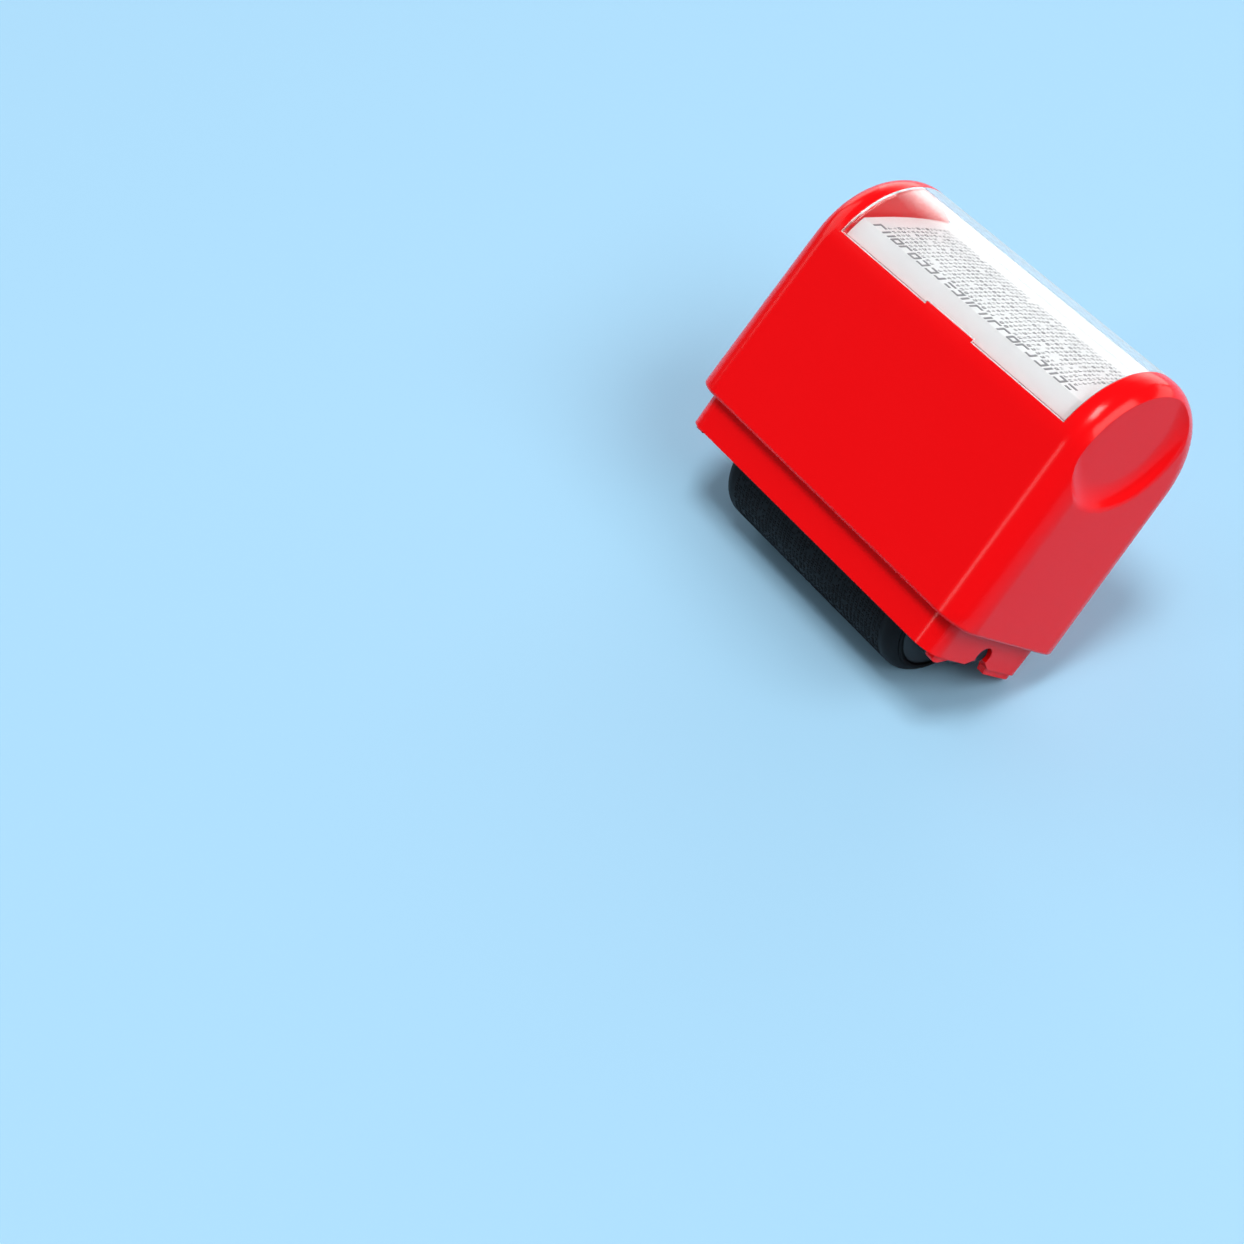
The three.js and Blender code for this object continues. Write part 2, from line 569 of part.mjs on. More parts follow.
// An open ring snapped into the axle's groove.
function axleClip(side, name) {
  const inner = AXLE_RADIUS - CLIP_BITE + RUN_GAP;
  const shape = new THREE.Shape();
  const open = Math.PI / 2 - CLIP_OPENING;
  shape.absarc(0, 0, CLIP_RADIUS, -open, Math.PI + open, false);
  shape.absarc(0, 0, inner, Math.PI + open, -open, true);
  shape.closePath();
  const near = CLIP_START;
  const far = CLIP_START + CLIP_WALL;
  const clip = prismX(shape, side > 0 ? near : -far, side > 0 ? far : -near, ARCH_STEPS);
  return toMesh(clip, name, STEEL);
}

function inkFelt() {
  const profile = ringProfile(INK_RADIUS - FELT_WALL, INK_RADIUS, -INK_LENGTH / 2, INK_LENGTH / 2, CHAMFER);
  return toMesh(turned(profile, ROUND_SIDES, INK_AXIS), 'ink_felt', FELT);
}

function inkTube() {
  const radius = INK_RADIUS - FELT_WALL - FIT_GAP;
  const profile = ringProfile(radius - INK_TUBE_WALL, radius, -INK_LENGTH / 2, INK_LENGTH / 2);
  return toMesh(turned(profile, THIN_SIDES, INK_AXIS), 'ink_tube', BLACK);
}

// A cap that closes one end of the ink roller, with a collar out to the carrier's arm.
function inkCap(side, name) {
  const bore = INK_AXLE_RADIUS + FIT_GAP;
  const start = INK_LENGTH / 2 + FIT_GAP;
  const face = start + CAP_WALL;
  const end = ARM_IN - SLIDE_GAP;
  const profile = [
    [bore, start],
    [CAP_RADIUS, start],
    [CAP_RADIUS, face - CHAMFER],
    [CAP_RADIUS - CHAMFER, face],
    [COLLAR_RADIUS, face],
    [COLLAR_RADIUS, end],
    [bore, end],
    [bore, start],
  ];
  const placed = side > 0 ? profile : profile.map(([radius, x]) => [radius, -x]).reverse();
  return toMesh(turned(placed, THIN_SIDES, INK_AXIS), name, BLACK);
}

function inkAxle() {
  const tip = ARM_OUT;
  const profile = [
    [0, -tip],
    [INK_AXLE_RADIUS - CHAMFER, -tip],
    [INK_AXLE_RADIUS, CHAMFER - tip],
    [INK_AXLE_RADIUS, tip - CHAMFER],
    [INK_AXLE_RADIUS - CHAMFER, tip],
    [0, tip],
  ];
  return toMesh(turned(profile, THIN_SIDES, INK_AXIS), 'ink_axle', STEEL);
}

// One arm of the carrier, rounded below the hole that the ink roller's axle turns in.
function carrierArm(from, to) {
  const half = ARM_WIDTH / 2;
  const low = INK_AXIS - ARM_DROP + ARM_ROUND;
  const shape = new THREE.Shape();
  shape.moveTo(half, BRIDGE_HIGH);
  shape.lineTo(-half, BRIDGE_HIGH);
  shape.absarc(ARM_ROUND - half, low, ARM_ROUND, Math.PI, Math.PI * 1.5, false);
  shape.absarc(half - ARM_ROUND, low, ARM_ROUND, Math.PI * 1.5, Math.PI * 2, false);
  shape.closePath();
  const hole = new THREE.Path();
  hole.absarc(0, INK_AXIS, INK_AXLE_RADIUS + RUN_GAP, 0, Math.PI * 2, true);
  shape.holes.push(hole);
  return prismX(shape, from, to, CORNER_STEPS);
}

// A short peg that keeps a spring in place.
function peg(x, from, to) {
  const geometry = new THREE.CylinderGeometry(PEG_RADIUS, PEG_RADIUS, to - from, PEG_SIDES);
  return toSolid(geometry.rotateX(Math.PI / 2).translate(x, 0, (from + to) / 2));
}

// The sprung carrier: a bridge over the ink roller with an arm down each end.
function inkCarrier() {
  const half = ARM_WIDTH / 2;
  const bridge = block([-ARM_OUT, -half, BRIDGE_LOW], [ARM_OUT, half, BRIDGE_HIGH]);
  const port = prismZ(portShape(PORT_LENGTH, PORT_WIDTH), BRIDGE_LOW - OVERRUN, BRIDGE_HIGH + OVERRUN);
  const arms = carrierArm(-ARM_OUT, -ARM_IN).add(carrierArm(ARM_IN, ARM_OUT));
  const low = BRIDGE_HIGH - BRIDGE_WALL / 2;
  const high = BRIDGE_HIGH + PEG_HEIGHT;
  const pegs = peg(-SPRING_SPREAD / 2, low, high).add(peg(SPRING_SPREAD / 2, low, high));
  return toMesh(bridge.subtract(port).add(arms).add(pegs), 'ink_carrier', BLACK);
}

// A helix of wire between the carrier and the lid.
class SpringCurve extends THREE.Curve {
  constructor(height) {
    super();
    this.height = height;
  }

  getPoint(t, target = new THREE.Vector3()) {
    const angle = t * SPRING_TURNS * Math.PI * 2;
    return target.set(SPRING_RADIUS * Math.cos(angle), SPRING_RADIUS * Math.sin(angle), t * this.height);
  }
}

// The least distance between the wire's surfaces on neighbouring turns, measured on points.
function leastWireGap(curve) {
  const count = Math.round(SPRING_TURNS * CURL_STEPS);
  const points = curve.getPoints(count);
  let least = Infinity;
  for (let i = 0; i <= count; i++) {
    for (let j = i + CURL_STEPS / 2; j <= count; j++) {
      least = Math.min(least, points[i].distanceTo(points[j]) - SPRING_WIRE);
    }
  }
  return least;
}

function inkSpring(x, name) {
  const low = BRIDGE_HIGH + SEAT_GAP / 2 + SPRING_WIRE / 2;
  const high = LID_LOW - SEAT_GAP / 2 - SPRING_WIRE / 2;
  const curve = new SpringCurve(high - low);
  const section = new THREE.Shape();
  for (let i = 0; i < WIRE_SIDES; i++) {
    const angle = (i / WIRE_SIDES) * Math.PI * 2;
    const point = [(SPRING_WIRE / 2) * Math.cos(angle), (SPRING_WIRE / 2) * Math.sin(angle)];
    if (i === 0) section.moveTo(...point);
    else section.lineTo(...point);
  }
  section.closePath();
  const steps = Math.round(SPRING_TURNS * CURL_STEPS);
  const geometry = new THREE.ExtrudeGeometry(section, { steps, extrudePath: curve, bevelEnabled: false });
  console.log(`${name}: least gap between turns ${leastWireGap(curve).toFixed(2)} mm`);
  return toMesh(toSolid(geometry.translate(x, 0, low)), name, STEEL);
}

// The lid that closes the frame and takes the springs' push.
function cartridgeLid() {
  const skirtLow = LID_LOW - SKIRT_DROP;
  const length = WELL_LENGTH / 2 - SLIDE_GAP;
  const depth = WELL_DEPTH / 2 - SLIDE_GAP;
  const plateLength = TOWER_LENGTH / 2 - LID_INSET;
  const plateDepth = TOWER_DEPTH / 2 - LID_INSET;
  const plan = roundedRectangle(plateLength, plateDepth, TOWER_ROUND - LID_INSET);
  const plate = prismZ(plan, LID_LOW, LID_HIGH);
  const skirt = prismZ(roundedRectangle(length, depth, WELL_ROUND), skirtLow, LID_LOW + LID_WALL / 2);
  const hollow = roundedRectangle(length - SKIRT_WALL, depth - SKIRT_WALL, WELL_ROUND - SKIRT_WALL / 2);
  const rim = skirt.subtract(prismZ(hollow, skirtLow - OVERRUN, LID_LOW));
  const port = prismZ(portShape(PORT_LENGTH, PORT_WIDTH), LID_LOW - OVERRUN, LID_HIGH + OVERRUN);
  const pegLow = LID_LOW - PEG_HEIGHT;
  const pegHigh = LID_LOW + LID_WALL / 2;
  const pegs = peg(-SPRING_SPREAD / 2, pegLow, pegHigh).add(peg(SPRING_SPREAD / 2, pegLow, pegHigh));
  return toMesh(plate.add(rim).add(pegs).subtract(port), 'cartridge_lid', BLACK);
}

// How far the stamp leans back when its roller and the rear foot's round corner touch the table.
function restingLean() {
  const out = BAND_DEPTH / 2 - FOOT_ROUND;
  const down = FOOT_DROP - FOOT_ROUND;
  const reach = Math.hypot(out, down);
  return Math.asin((ROLLER_RADIUS - FOOT_ROUND) / reach) - Math.atan2(down, out);
}

const cover = new THREE.Group();
cover.add(housing(), labelCard(), windowPane());

const printRoller = new THREE.Group();
printRoller.add(printSleeve(), printCore(), printAxle());
printRoller.add(printHub(-1, 'print_hub_left'), printHub(1, 'print_hub_right'));
printRoller.add(axleClip(-1, 'axle_clip_left'), axleClip(1, 'axle_clip_right'));

const inkRoller = new THREE.Group();
inkRoller.add(inkFelt(), inkTube(), inkAxle());
inkRoller.add(inkCap(-1, 'ink_cap_left'), inkCap(1, 'ink_cap_right'));

const cartridge = new THREE.Group();
cartridge.add(innerFrame(), cartridgeLid(), inkCarrier(), printRoller, inkRoller);
cartridge.add(inkSpring(-SPRING_SPREAD / 2, 'ink_spring_left'));
cartridge.add(inkSpring(SPRING_SPREAD / 2, 'ink_spring_right'));

const stamp = new THREE.Group();
stamp.add(cover, cartridge);
stamp.rotation.x = -restingLean();

// The origin lies under the middle of the stamp's box, on the table.
const group = new THREE.Group();
group.add(stamp);
group.updateMatrixWorld(true);
const box = new THREE.Box3().setFromObject(group, true);
stamp.position.set(-(box.min.x + box.max.x) / 2, -(box.min.y + box.max.y) / 2, -box.min.z);

export default group;
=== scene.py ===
"""Dresses a privacy roller stamp: red hood, clear window, label card, ink roller and print roller.

Sizes are millimetres in the stamp's own frame: X along the rollers, Y to the back, Z up through
the window, with the origin on the print roller's axis. Finished pieces are metres on the table.
"""

from __future__ import annotations

import json
import logging
import math
from dataclasses import asdict, dataclass, replace
from enum import Enum
from typing import Any, Callable, Sequence

import bmesh
import bpy
from mathutils import Matrix, Vector

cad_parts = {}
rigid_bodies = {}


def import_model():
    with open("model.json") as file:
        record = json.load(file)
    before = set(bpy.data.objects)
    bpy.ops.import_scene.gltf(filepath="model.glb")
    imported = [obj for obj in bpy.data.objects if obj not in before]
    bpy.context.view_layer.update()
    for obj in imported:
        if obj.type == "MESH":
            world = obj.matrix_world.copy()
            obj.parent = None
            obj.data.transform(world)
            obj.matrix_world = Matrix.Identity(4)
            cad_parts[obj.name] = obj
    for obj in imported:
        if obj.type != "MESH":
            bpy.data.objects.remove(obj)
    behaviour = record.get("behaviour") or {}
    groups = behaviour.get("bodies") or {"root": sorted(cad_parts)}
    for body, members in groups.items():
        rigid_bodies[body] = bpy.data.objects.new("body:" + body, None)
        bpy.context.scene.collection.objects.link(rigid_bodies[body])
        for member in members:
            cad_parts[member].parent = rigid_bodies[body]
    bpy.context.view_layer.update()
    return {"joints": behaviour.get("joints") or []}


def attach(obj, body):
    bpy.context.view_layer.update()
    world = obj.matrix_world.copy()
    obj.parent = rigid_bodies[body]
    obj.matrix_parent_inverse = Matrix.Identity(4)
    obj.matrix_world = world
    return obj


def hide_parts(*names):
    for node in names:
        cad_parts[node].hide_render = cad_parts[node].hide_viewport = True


Point2 = tuple[float, float]
Point3 = tuple[float, float, float]
Colour = tuple[float, float, float]
Bar = tuple[float, float, float, float]

LOG = logging.getLogger("roller_stamp")
FULL_TURN = 2 * math.pi
SIDES = ((-1, "left"), (1, "right"))
MILLIMETRE = 0.001  # in metres
SAME_POINT = 1e-5  # points of a solid that are closer than this are one
ON_AXIS = 1e-6  # a profile's point that is closer than this lies on its line

# Sizes that several sub-assemblies share, in millimetres
ROLLER_RADIUS = 10.4
ARCH_CENTRE = 33.1
LID_LOW = 28.3
LID_HIGH = 29.3
INK_AXIS = 16.9
PORT_LENGTH = 30.0
PORT_WIDTH = 3.0
PORT_ROUND = 1.2
SPRING_X = 17.0
PEG_RADIUS = 1.1
CUT_DEPTH = 4.0  # how far most cutting solids run past what they cut


class Cut(Enum):
    """How one solid works on another."""

    TAKE_AWAY = "DIFFERENCE"
    ADD = "UNION"
    KEEP_COMMON = "INTERSECT"


class Along(Enum):
    """The direction that an outline is drawn out in."""

    X = 0
    Y = 1
    Z = 2


class Body(Enum):
    """The moving bodies of the stamp."""

    CARTRIDGE = "cartridge"
    PRINT_ROLLER = "print_roller"
    CARRIER = "ink_carrier"
    INK_ROLLER = "ink_roller"
    HOUSING = "housing"
    WINDOW = "window"


def arc(centre: Point2, radius: float, start: float, end: float, steps: int) -> list[Point2]:
    """Points along a circle's arc.

    Args:
        centre: The circle's middle.
        radius: The circle's radius.
        start: The first angle in radians.
        end: The last angle in radians.
        steps: The number of chords.

    Returns:
        steps + 1 points.
    """
    turns = [start + (end - start) * i / steps for i in range(steps + 1)]
    return [(centre[0] + radius * math.cos(a), centre[1] + radius * math.sin(a)) for a in turns]


def rounded_rectangle(half_x: float, half_y: float, rounding: float, steps: int = 12) -> list[Point2]:
    """A rectangle about the origin with round corners.

    Args:
        half_x: Half its width.
        half_y: Half its height.
        rounding: The corners' radius.
        steps: The number of chords of a corner.

    Returns:
        Its outline.
    """
    x, y = half_x - rounding, half_y - rounding
    corners = [(x, -y, -0.5), (x, y, 0.0), (-x, y, 0.5), (-x, -y, 1.0)]
    points: list[Point2] = []
    for cx, cy, turn in corners:
        points += arc((cx, cy), rounding, turn * math.pi, (turn + 0.5) * math.pi, steps)
    return points


def disc(centre: Point2, radius: float, steps: int) -> list[Point2]:
    """A circle's outline."""
    return arc(centre, radius, 0.0, FULL_TURN, steps)[:-1]


def port_outline() -> list[Point2]:
    """The ink port, which hood, lid and carrier share."""
    return rounded_rectangle(PORT_LENGTH / 2, PORT_WIDTH / 2, PORT_ROUND, steps=6)


class Solid:
    """A closed mesh in the stamp's millimetres that can be joined and cut."""

    def __init__(self, vertices: Sequence[Point3], faces: Sequence[Sequence[int]]) -> None:
        """Makes the mesh and turns its faces outwards.

        Args:
            vertices: Its corners.
            faces: The corners of each face.
        """
        mesh = bpy.data.meshes.new("solid")
        mesh.from_pydata([tuple(v) for v in vertices], [], [tuple(f) for f in faces])
        bm = bmesh.new()
        bm.from_mesh(mesh)
        bmesh.ops.remove_doubles(bm, verts=bm.verts, dist=SAME_POINT)
        bmesh.ops.recalc_face_normals(bm, faces=bm.faces)
        bm.to_mesh(mesh)
        bm.free()
        self.obj = bpy.data.objects.new("solid", mesh)
        bpy.context.scene.collection.objects.link(self.obj)

    @classmethod
    def loft(cls, rings: Sequence[Sequence[Point3]]) -> "Solid":
        """A skin over closed rings of equal length, with a flat cap at each end.

        Args:
            rings: The rings in order.

        Returns:
            The solid.
        """
        count = len(rings[0])
        last = (len(rings) - 1) * count
        faces: list[list[int]] = [list(range(count)), [last + i for i in range(count)]]
        for r in range(len(rings) - 1):
            low, high = r * count, (r + 1) * count
            for i in range(count):
                j = (i + 1) % count
                faces.append([low + i, low + j, high + j, high + i])
        return cls([p for ring in rings for p in ring], faces)

    @classmethod
    def prism(cls, outline: Sequence[Point2], along: Along, low: float, high: float) -> "Solid":
        """An outline drawn out straight.

        Args:
            outline: Points in the two other directions, in the order X, Y, Z.
            along: The direction that it is drawn out in.
            low: Where it starts.
            high: Where it ends.

        Returns:
            The solid.
        """

        def place(point: Point2, level: float) -> Point3:
            """A point of the outline at a level."""
            x, y, z = *point[: along.value], level, *point[along.value :]
            return x, y, z

        return cls.loft([[place(p, low) for p in outline], [place(p, high) for p in outline]])

    @classmethod
    def box(cls, low: Point3, high: Point3) -> "Solid":
        """A box between two corners."""
        plan = [(low[0], low[1]), (high[0], low[1]), (high[0], high[1]), (low[0], high[1])]
        return cls.prism(plan, Along.Z, low[2], high[2])

    @classmethod
    def turned(cls, profile: Sequence[Point2], sides: int, height: float = 0.0) -> "Solid":
        """A profile of (radius, x) points turned about a line along X.

        Args:
            profile: The points; where it starts on the line it must end on it, else it is a closed loop.
            sides: The number of facets round.
            height: The line's Z.

        Returns:
            The solid.
        """
        vertices: list[Point3] = []
        rings: list[list[int]] = []
        for radius, x in profile:
            count = sides if radius > ON_AXIS else 1
            rings.append([len(vertices) + i for i in range(count)])
            for i in range(count):
                turn = FULL_TURN * i / count
                vertices.append((x, radius * math.sin(turn), height + radius * math.cos(turn)))
        pairs = list(zip(rings, rings[1:]))
        if profile[0][0] > ON_AXIS:
            pairs.append((rings[-1], rings[0]))
        faces: list[list[int]] = []
        for first, second in pairs:
            for i in range(sides):
                j = (i + 1) % sides
                near = [first[i % len(first)], first[j % len(first)]]
                far = [second[j % len(second)], second[i % len(second)]]
                faces.append(list(dict.fromkeys(near + far)))
        return cls(vertices, [f for f in faces if len(f) > 2])

    def work(self, tool: "Solid", how: Cut) -> "Solid":
        """Joins or cuts with another solid, which is used up.

        Args:
            tool: The other solid.
            how: What is done with it.

        Returns:
            This solid.
        """
        step = self.obj.modifiers.new("work", "BOOLEAN")
        step.operation = how.value
        step.solver = "MANIFOLD"
        step.object = tool.obj
        old = self.obj.data
        mesh = baked_mesh(self.obj)
        self.obj.modifiers.remove(step)
        self.obj.data = mesh
        bpy.data.meshes.remove(old)
        tool.discard()
        return self

    def less(self, *tools: "Solid") -> "Solid":
        """This solid with others cut out of it.

        Args:
            *tools: The others, which are used up.

        Returns:
            This solid.
        """
        for tool in tools:
            self.work(tool, Cut.TAKE_AWAY)
        return self

    def plus(self, *others: "Solid") -> "Solid":
        """This solid joined with others.

        Args:
            *others: The others, which are used up.

        Returns:
            This solid.
        """
        for other in others:
            self.work(other, Cut.ADD)
        return self

    def common(self, other: "Solid") -> "Solid":
        """What this solid and another share."""
        return self.work(other, Cut.KEEP_COMMON)

    def reshape(self, rule: Callable[[Vector], Vector]) -> "Solid":
        """Moves every vertex by a rule.

        Args:
            rule: Gives a vertex's new place.

        Returns:
            This solid.
        """
        for vertex in self.obj.data.vertices:
            vertex.co = rule(vertex.co.copy())
        return self

    def copy(self, matrix: Matrix) -> "Solid":
        """A copy that is turned or moved by a matrix without mirroring.

        Args:
            matrix: The matrix.

        Returns:
            The copy.
        """
        twin = Solid.__new__(Solid)
        twin.obj = self.obj.copy()
        twin.obj.data = self.obj.data.copy()
        twin.obj.data.transform(matrix)
        bpy.context.scene.collection.objects.link(twin.obj)
        return twin

    def discard(self) -> None:
        """Removes the solid."""
        mesh = self.obj.data
        bpy.data.objects.remove(self.obj)
        bpy.data.meshes.remove(mesh)


def baked_mesh(obj: bpy.types.Object) -> bpy.types.Mesh:
    """The plain mesh that an object's modifiers make.

    Args:
        obj: The object.

    Returns:
        The mesh.
    """
    bpy.context.view_layer.update()
    graph = bpy.context.evaluated_depsgraph_get()
    return bpy.data.meshes.new_from_object(obj.evaluated_get(graph))


class NodeBench:
    """Places and joins the nodes of one tree."""

    def __init__(self, tree: bpy.types.NodeTree) -> None:
        """Keeps the tree."""
        self.tree = tree

    def add(self, kind: str, settings: dict[str, Any] | None = None, **values: Any) -> bpy.types.Node:
        """Adds a node.

        Args:
            kind: The node's type name.
            settings: Its own properties.
            **values: Socket values or sockets to join, by the socket's name with _ for a blank, or by i0, i1
                for the first and second socket.

        Returns:
            The node.
        """
        node = self.tree.nodes.new(kind)
        for name, value in (settings or {}).items():
            setattr(node, name, value)
        for name, value in values.items():
            key = int(name[1:]) if name[0] == "i" and name[1:].isdigit() else name.replace("_", " ")
            if isinstance(value, bpy.types.NodeSocket):
                self.tree.links.new(value, node.inputs[key])
            else:
                node.inputs[key].default_value = value
        return node

    def noise(
        self, scale: Any, detail: float, turn: Point3 = (0.0, 0.0, 0.0), stretch: Point3 = (1.0, 1.0, 1.0)
    ) -> bpy.types.NodeSocket:
        """A noise on the object's own coordinates.

        Args:
            scale: Its scale, a number or a socket.
            detail: Its detail.
            turn: How the coordinates are turned first.
            stretch: How they are scaled first, by little where the noise is drawn out.

        Returns:
            Its value.
        """
        place = self.add("ShaderNodeTexCoord").outputs["Object"]
        turned = self.add("ShaderNodeMapping", Vector=place, Rotation=turn, Scale=stretch).outputs[0]
        return self.add("ShaderNodeTexNoise", Vector=turned, Scale=scale, Detail=detail).outputs[0]

    def value(self, operation: str, *inputs: Any) -> bpy.types.NodeSocket:
        """The result of a Math node on numbers or sockets."""
        named = {f"i{k}": v for k, v in enumerate(inputs)}
        return self.add("ShaderNodeMath", {"operation": operation}, **named).outputs[0]


class GrowingTree(NodeBench):
    """A geometry node tree with named inputs that ends in plain dressed meshes."""

    def __init__(self, name: str, inputs: dict[str, Sequence[str]]) -> None:
        """Makes the tree.

        Args:
            name: The tree's name.
            inputs: The names of its inputs by their type; the material is always the last.
        """
        super().__init__(bpy.data.node_groups.new(name, "GeometryNodeTree"))
        sockets = [(label, kind) for kind, labels in inputs.items() for label in labels]
        for label, kind in [*sockets, ("Material", "Material")]:
            self.tree.interface.new_socket(name=label, in_out="INPUT", socket_type="NodeSocket" + kind)
        self.tree.interface.new_socket(name="Geometry", in_out="OUTPUT", socket_type="NodeSocketGeometry")
        self.given = self.tree.nodes.new("NodeGroupInput").outputs

    def close(self, geometry: bpy.types.NodeSocket) -> bpy.types.NodeTree:
        """Makes what was grown real, dresses it and gives the tree.

        Args:
            geometry: What was grown.

        Returns:
            The tree.
        """
        real = self.add("GeometryNodeRealizeInstances", i0=geometry)
        dressed = self.add("GeometryNodeSetMaterial", i0=real.outputs[0], Material=self.given["Material"])
        self.add("NodeGroupOutput", i0=dressed.outputs[0])
        return self.tree


class Effect(Enum):
    """The shader effects that several finishes share."""

    GRAIN = "moulded_grain"
    HANDLING = "handling_marks"
    SOFT_EDGE = "soft_edge"
    EDGE_WEAR = "edge_wear"
    FIBRES = "pressed_fibres"
    RINGS = "turned_rings"


class Effects:
    """Builds each shared shader effect once."""

    @classmethod
    def get(cls, effect: Effect) -> bpy.types.NodeTree:
        """The node group of an effect.

        Args:
            effect: The effect.

        Returns:
            Its group, built once.
        """
        found = bpy.data.node_groups.get(effect.value)
        if found:
            return found
        tree = bpy.data.node_groups.new(effect.value, "ShaderNodeTree")
        makers = {
            Effect.GRAIN: cls.grain,
            Effect.HANDLING: cls.handling,
            Effect.SOFT_EDGE: cls.soft_edge,
            Effect.EDGE_WEAR: cls.edge_wear,
            Effect.FIBRES: cls.fibres,
            Effect.RINGS: cls.rings,
        }
        makers[effect](tree)
        return tree

    @staticmethod
    def sockets(
        tree: bpy.types.NodeTree, inputs: dict[str, float], outputs: dict[str, str]
    ) -> tuple[bpy.types.Node, bpy.types.Node]:
        """Makes a group's named sockets.

        Args:
            tree: The group.
            inputs: Each number that it takes, with its usual value.
            outputs: Each output with its socket type.

        Returns:
            The group's input and output nodes.
        """
        for name, usual in inputs.items():
            socket = tree.interface.new_socket(name=name, in_out="INPUT", socket_type="NodeSocketFloat")
            socket.default_value = usual
        for name, kind in outputs.items():
            tree.interface.new_socket(name=name, in_out="OUTPUT", socket_type=kind)
        return tree.nodes.new("NodeGroupInput"), tree.nodes.new("NodeGroupOutput")

    @classmethod
    def grain(cls, tree: bpy.types.NodeTree) -> None:
        """A fine moulded grain over a slow waviness, as a height.

        Args:
            tree: The empty group.
        """
        usual = {"Fine Scale": 2600.0, "Slow Scale": 60.0, "Slow Share": 0.5}
        given, out = cls.sockets(tree, usual, {"Height": "NodeSocketFloat"})
        bench = NodeBench(tree)
        fine = bench.noise(given.outputs["Fine Scale"], detail=2.0)
        slow = bench.noise(given.outputs["Slow Scale"], detail=1.0)
        wave = bench.value("MULTIPLY", slow, given.outputs["Slow Share"])
        tree.links.new(bench.value("ADD", fine, wave), out.inputs["Height"])

    @classmethod
    def handling(cls, tree: bpy.types.NodeTree) -> None:
        """Faint smears and hair scratches from handling, as a mask.

        Args:
            tree: The empty group.
        """
        usual = {"Smear Scale": 90.0, "Scratch Scale": 700.0, "Amount": 1.0}
        given, out = cls.sockets(tree, usual, {"Mask": "NodeSocketFloat"})
        bench = NodeBench(tree)
        smear = bench.noise(given.outputs["Smear Scale"], detail=3.0)
        lean, thin = (0.4, 0.2, 0.7), (1.0, 0.06, 0.3)
        hair = bench.noise(given.outputs["Scratch Scale"], detail=1.0, turn=lean, stretch=thin)
        contrast, smear_limit, smear_blend = 2.0, 0.6, 0.2
        hair_level, hair_strength = 0.69, 0.25
        strong = bench.value("POWER", smear, contrast)
        smears = bench.value("SMOOTH_MIN", strong, smear_limit, smear_blend)
        lines = bench.value("GREATER_THAN", hair, hair_level)
        both = bench.value("ADD", smears, bench.value("MULTIPLY", lines, hair_strength))
        tree.links.new(bench.value("MULTIPLY", both, given.outputs["Amount"]), out.inputs["Mask"])

    @classmethod
    def soft_edge(cls, tree: bpy.types.NodeTree) -> None:
        """The small round that a mould leaves on every edge, as a normal.

        Args:
            tree: The empty group.
        """
        given, out = cls.sockets(tree, {"Radius": 0.0002}, {"Normal": "NodeSocketVector"})
        bench = NodeBench(tree)
        rounding = bench.add("ShaderNodeBevel", {"samples": 6}, Radius=given.outputs["Radius"])
        tree.links.new(rounding.outputs[0], out.inputs["Normal"])

    @classmethod
    def edge_wear(cls, tree: bpy.types.NodeTree) -> None:
        """Where edges are rubbed, as a mask.

        Args:
            tree: The empty group.
        """
        usual = {"Radius": 0.0004, "Amount": 1.0}
        given, out = cls.sockets(tree, usual, {"Mask": "NodeSocketFloat"})
        bench = NodeBench(tree)
        rounding = bench.add("ShaderNodeBevel", {"samples": 4}, Radius=given.outputs["Radius"])
        plain = bench.add("ShaderNodeNewGeometry").outputs["Normal"]
        dot = bench.add("ShaderNodeVectorMath", {"operation": "DOT_PRODUCT"}, i0=rounding.outputs[0])
        tree.links.new(plain, dot.inputs[1])
        edge = bench.value("SUBTRACT", 1.0, dot.outputs["Value"])
        broken = bench.value("MULTIPLY", edge, bench.noise(900.0, detail=2.0))
        mask = bench.value("MULTIPLY", broken, given.outputs["Amount"])
        tree.links.new(bench.value("MINIMUM", mask, 1.0), out.inputs["Mask"])

    @classmethod
    def fibres(cls, tree: bpy.types.NodeTree) -> None:
        """Drawn-out fibres as a height, and their cloudy blend as a mask.

        Args:
            tree: The empty group.
        """
        usual = {"Fibre Scale": 1500.0, "Cloud Scale": 140.0}
        outputs = {"Height": "NodeSocketFloat", "Blend": "NodeSocketFloat"}
        given, out = cls.sockets(tree, usual, outputs)
        bench = NodeBench(tree)
        lean, thin = (0.3, 0.5, 0.2), (0.25, 1.0, 1.0)
        fibre = bench.noise(given.outputs["Fibre Scale"], detail=4.0, turn=lean, stretch=thin)
        cloud = bench.noise(given.outputs["Cloud Scale"], detail=2.0)
        tree.links.new(fibre, out.inputs["Height"])
        tree.links.new(bench.value("MULTIPLY", fibre, cloud), out.inputs["Blend"])

    @classmethod
    def rings(cls, tree: bpy.types.NodeTree) -> None:
        """The fine rings that turning leaves along X, as a height.

        Args:
            tree: The empty group.
        """
        given, out = cls.sockets(tree, {"Ring Scale": 6000.0}, {"Height": "NodeSocketFloat"})
        line = NodeBench(tree).noise(given.outputs["Ring Scale"], detail=2.0, stretch=(1.0, 0.03, 0.03))
        tree.links.new(line, out.inputs["Height"])


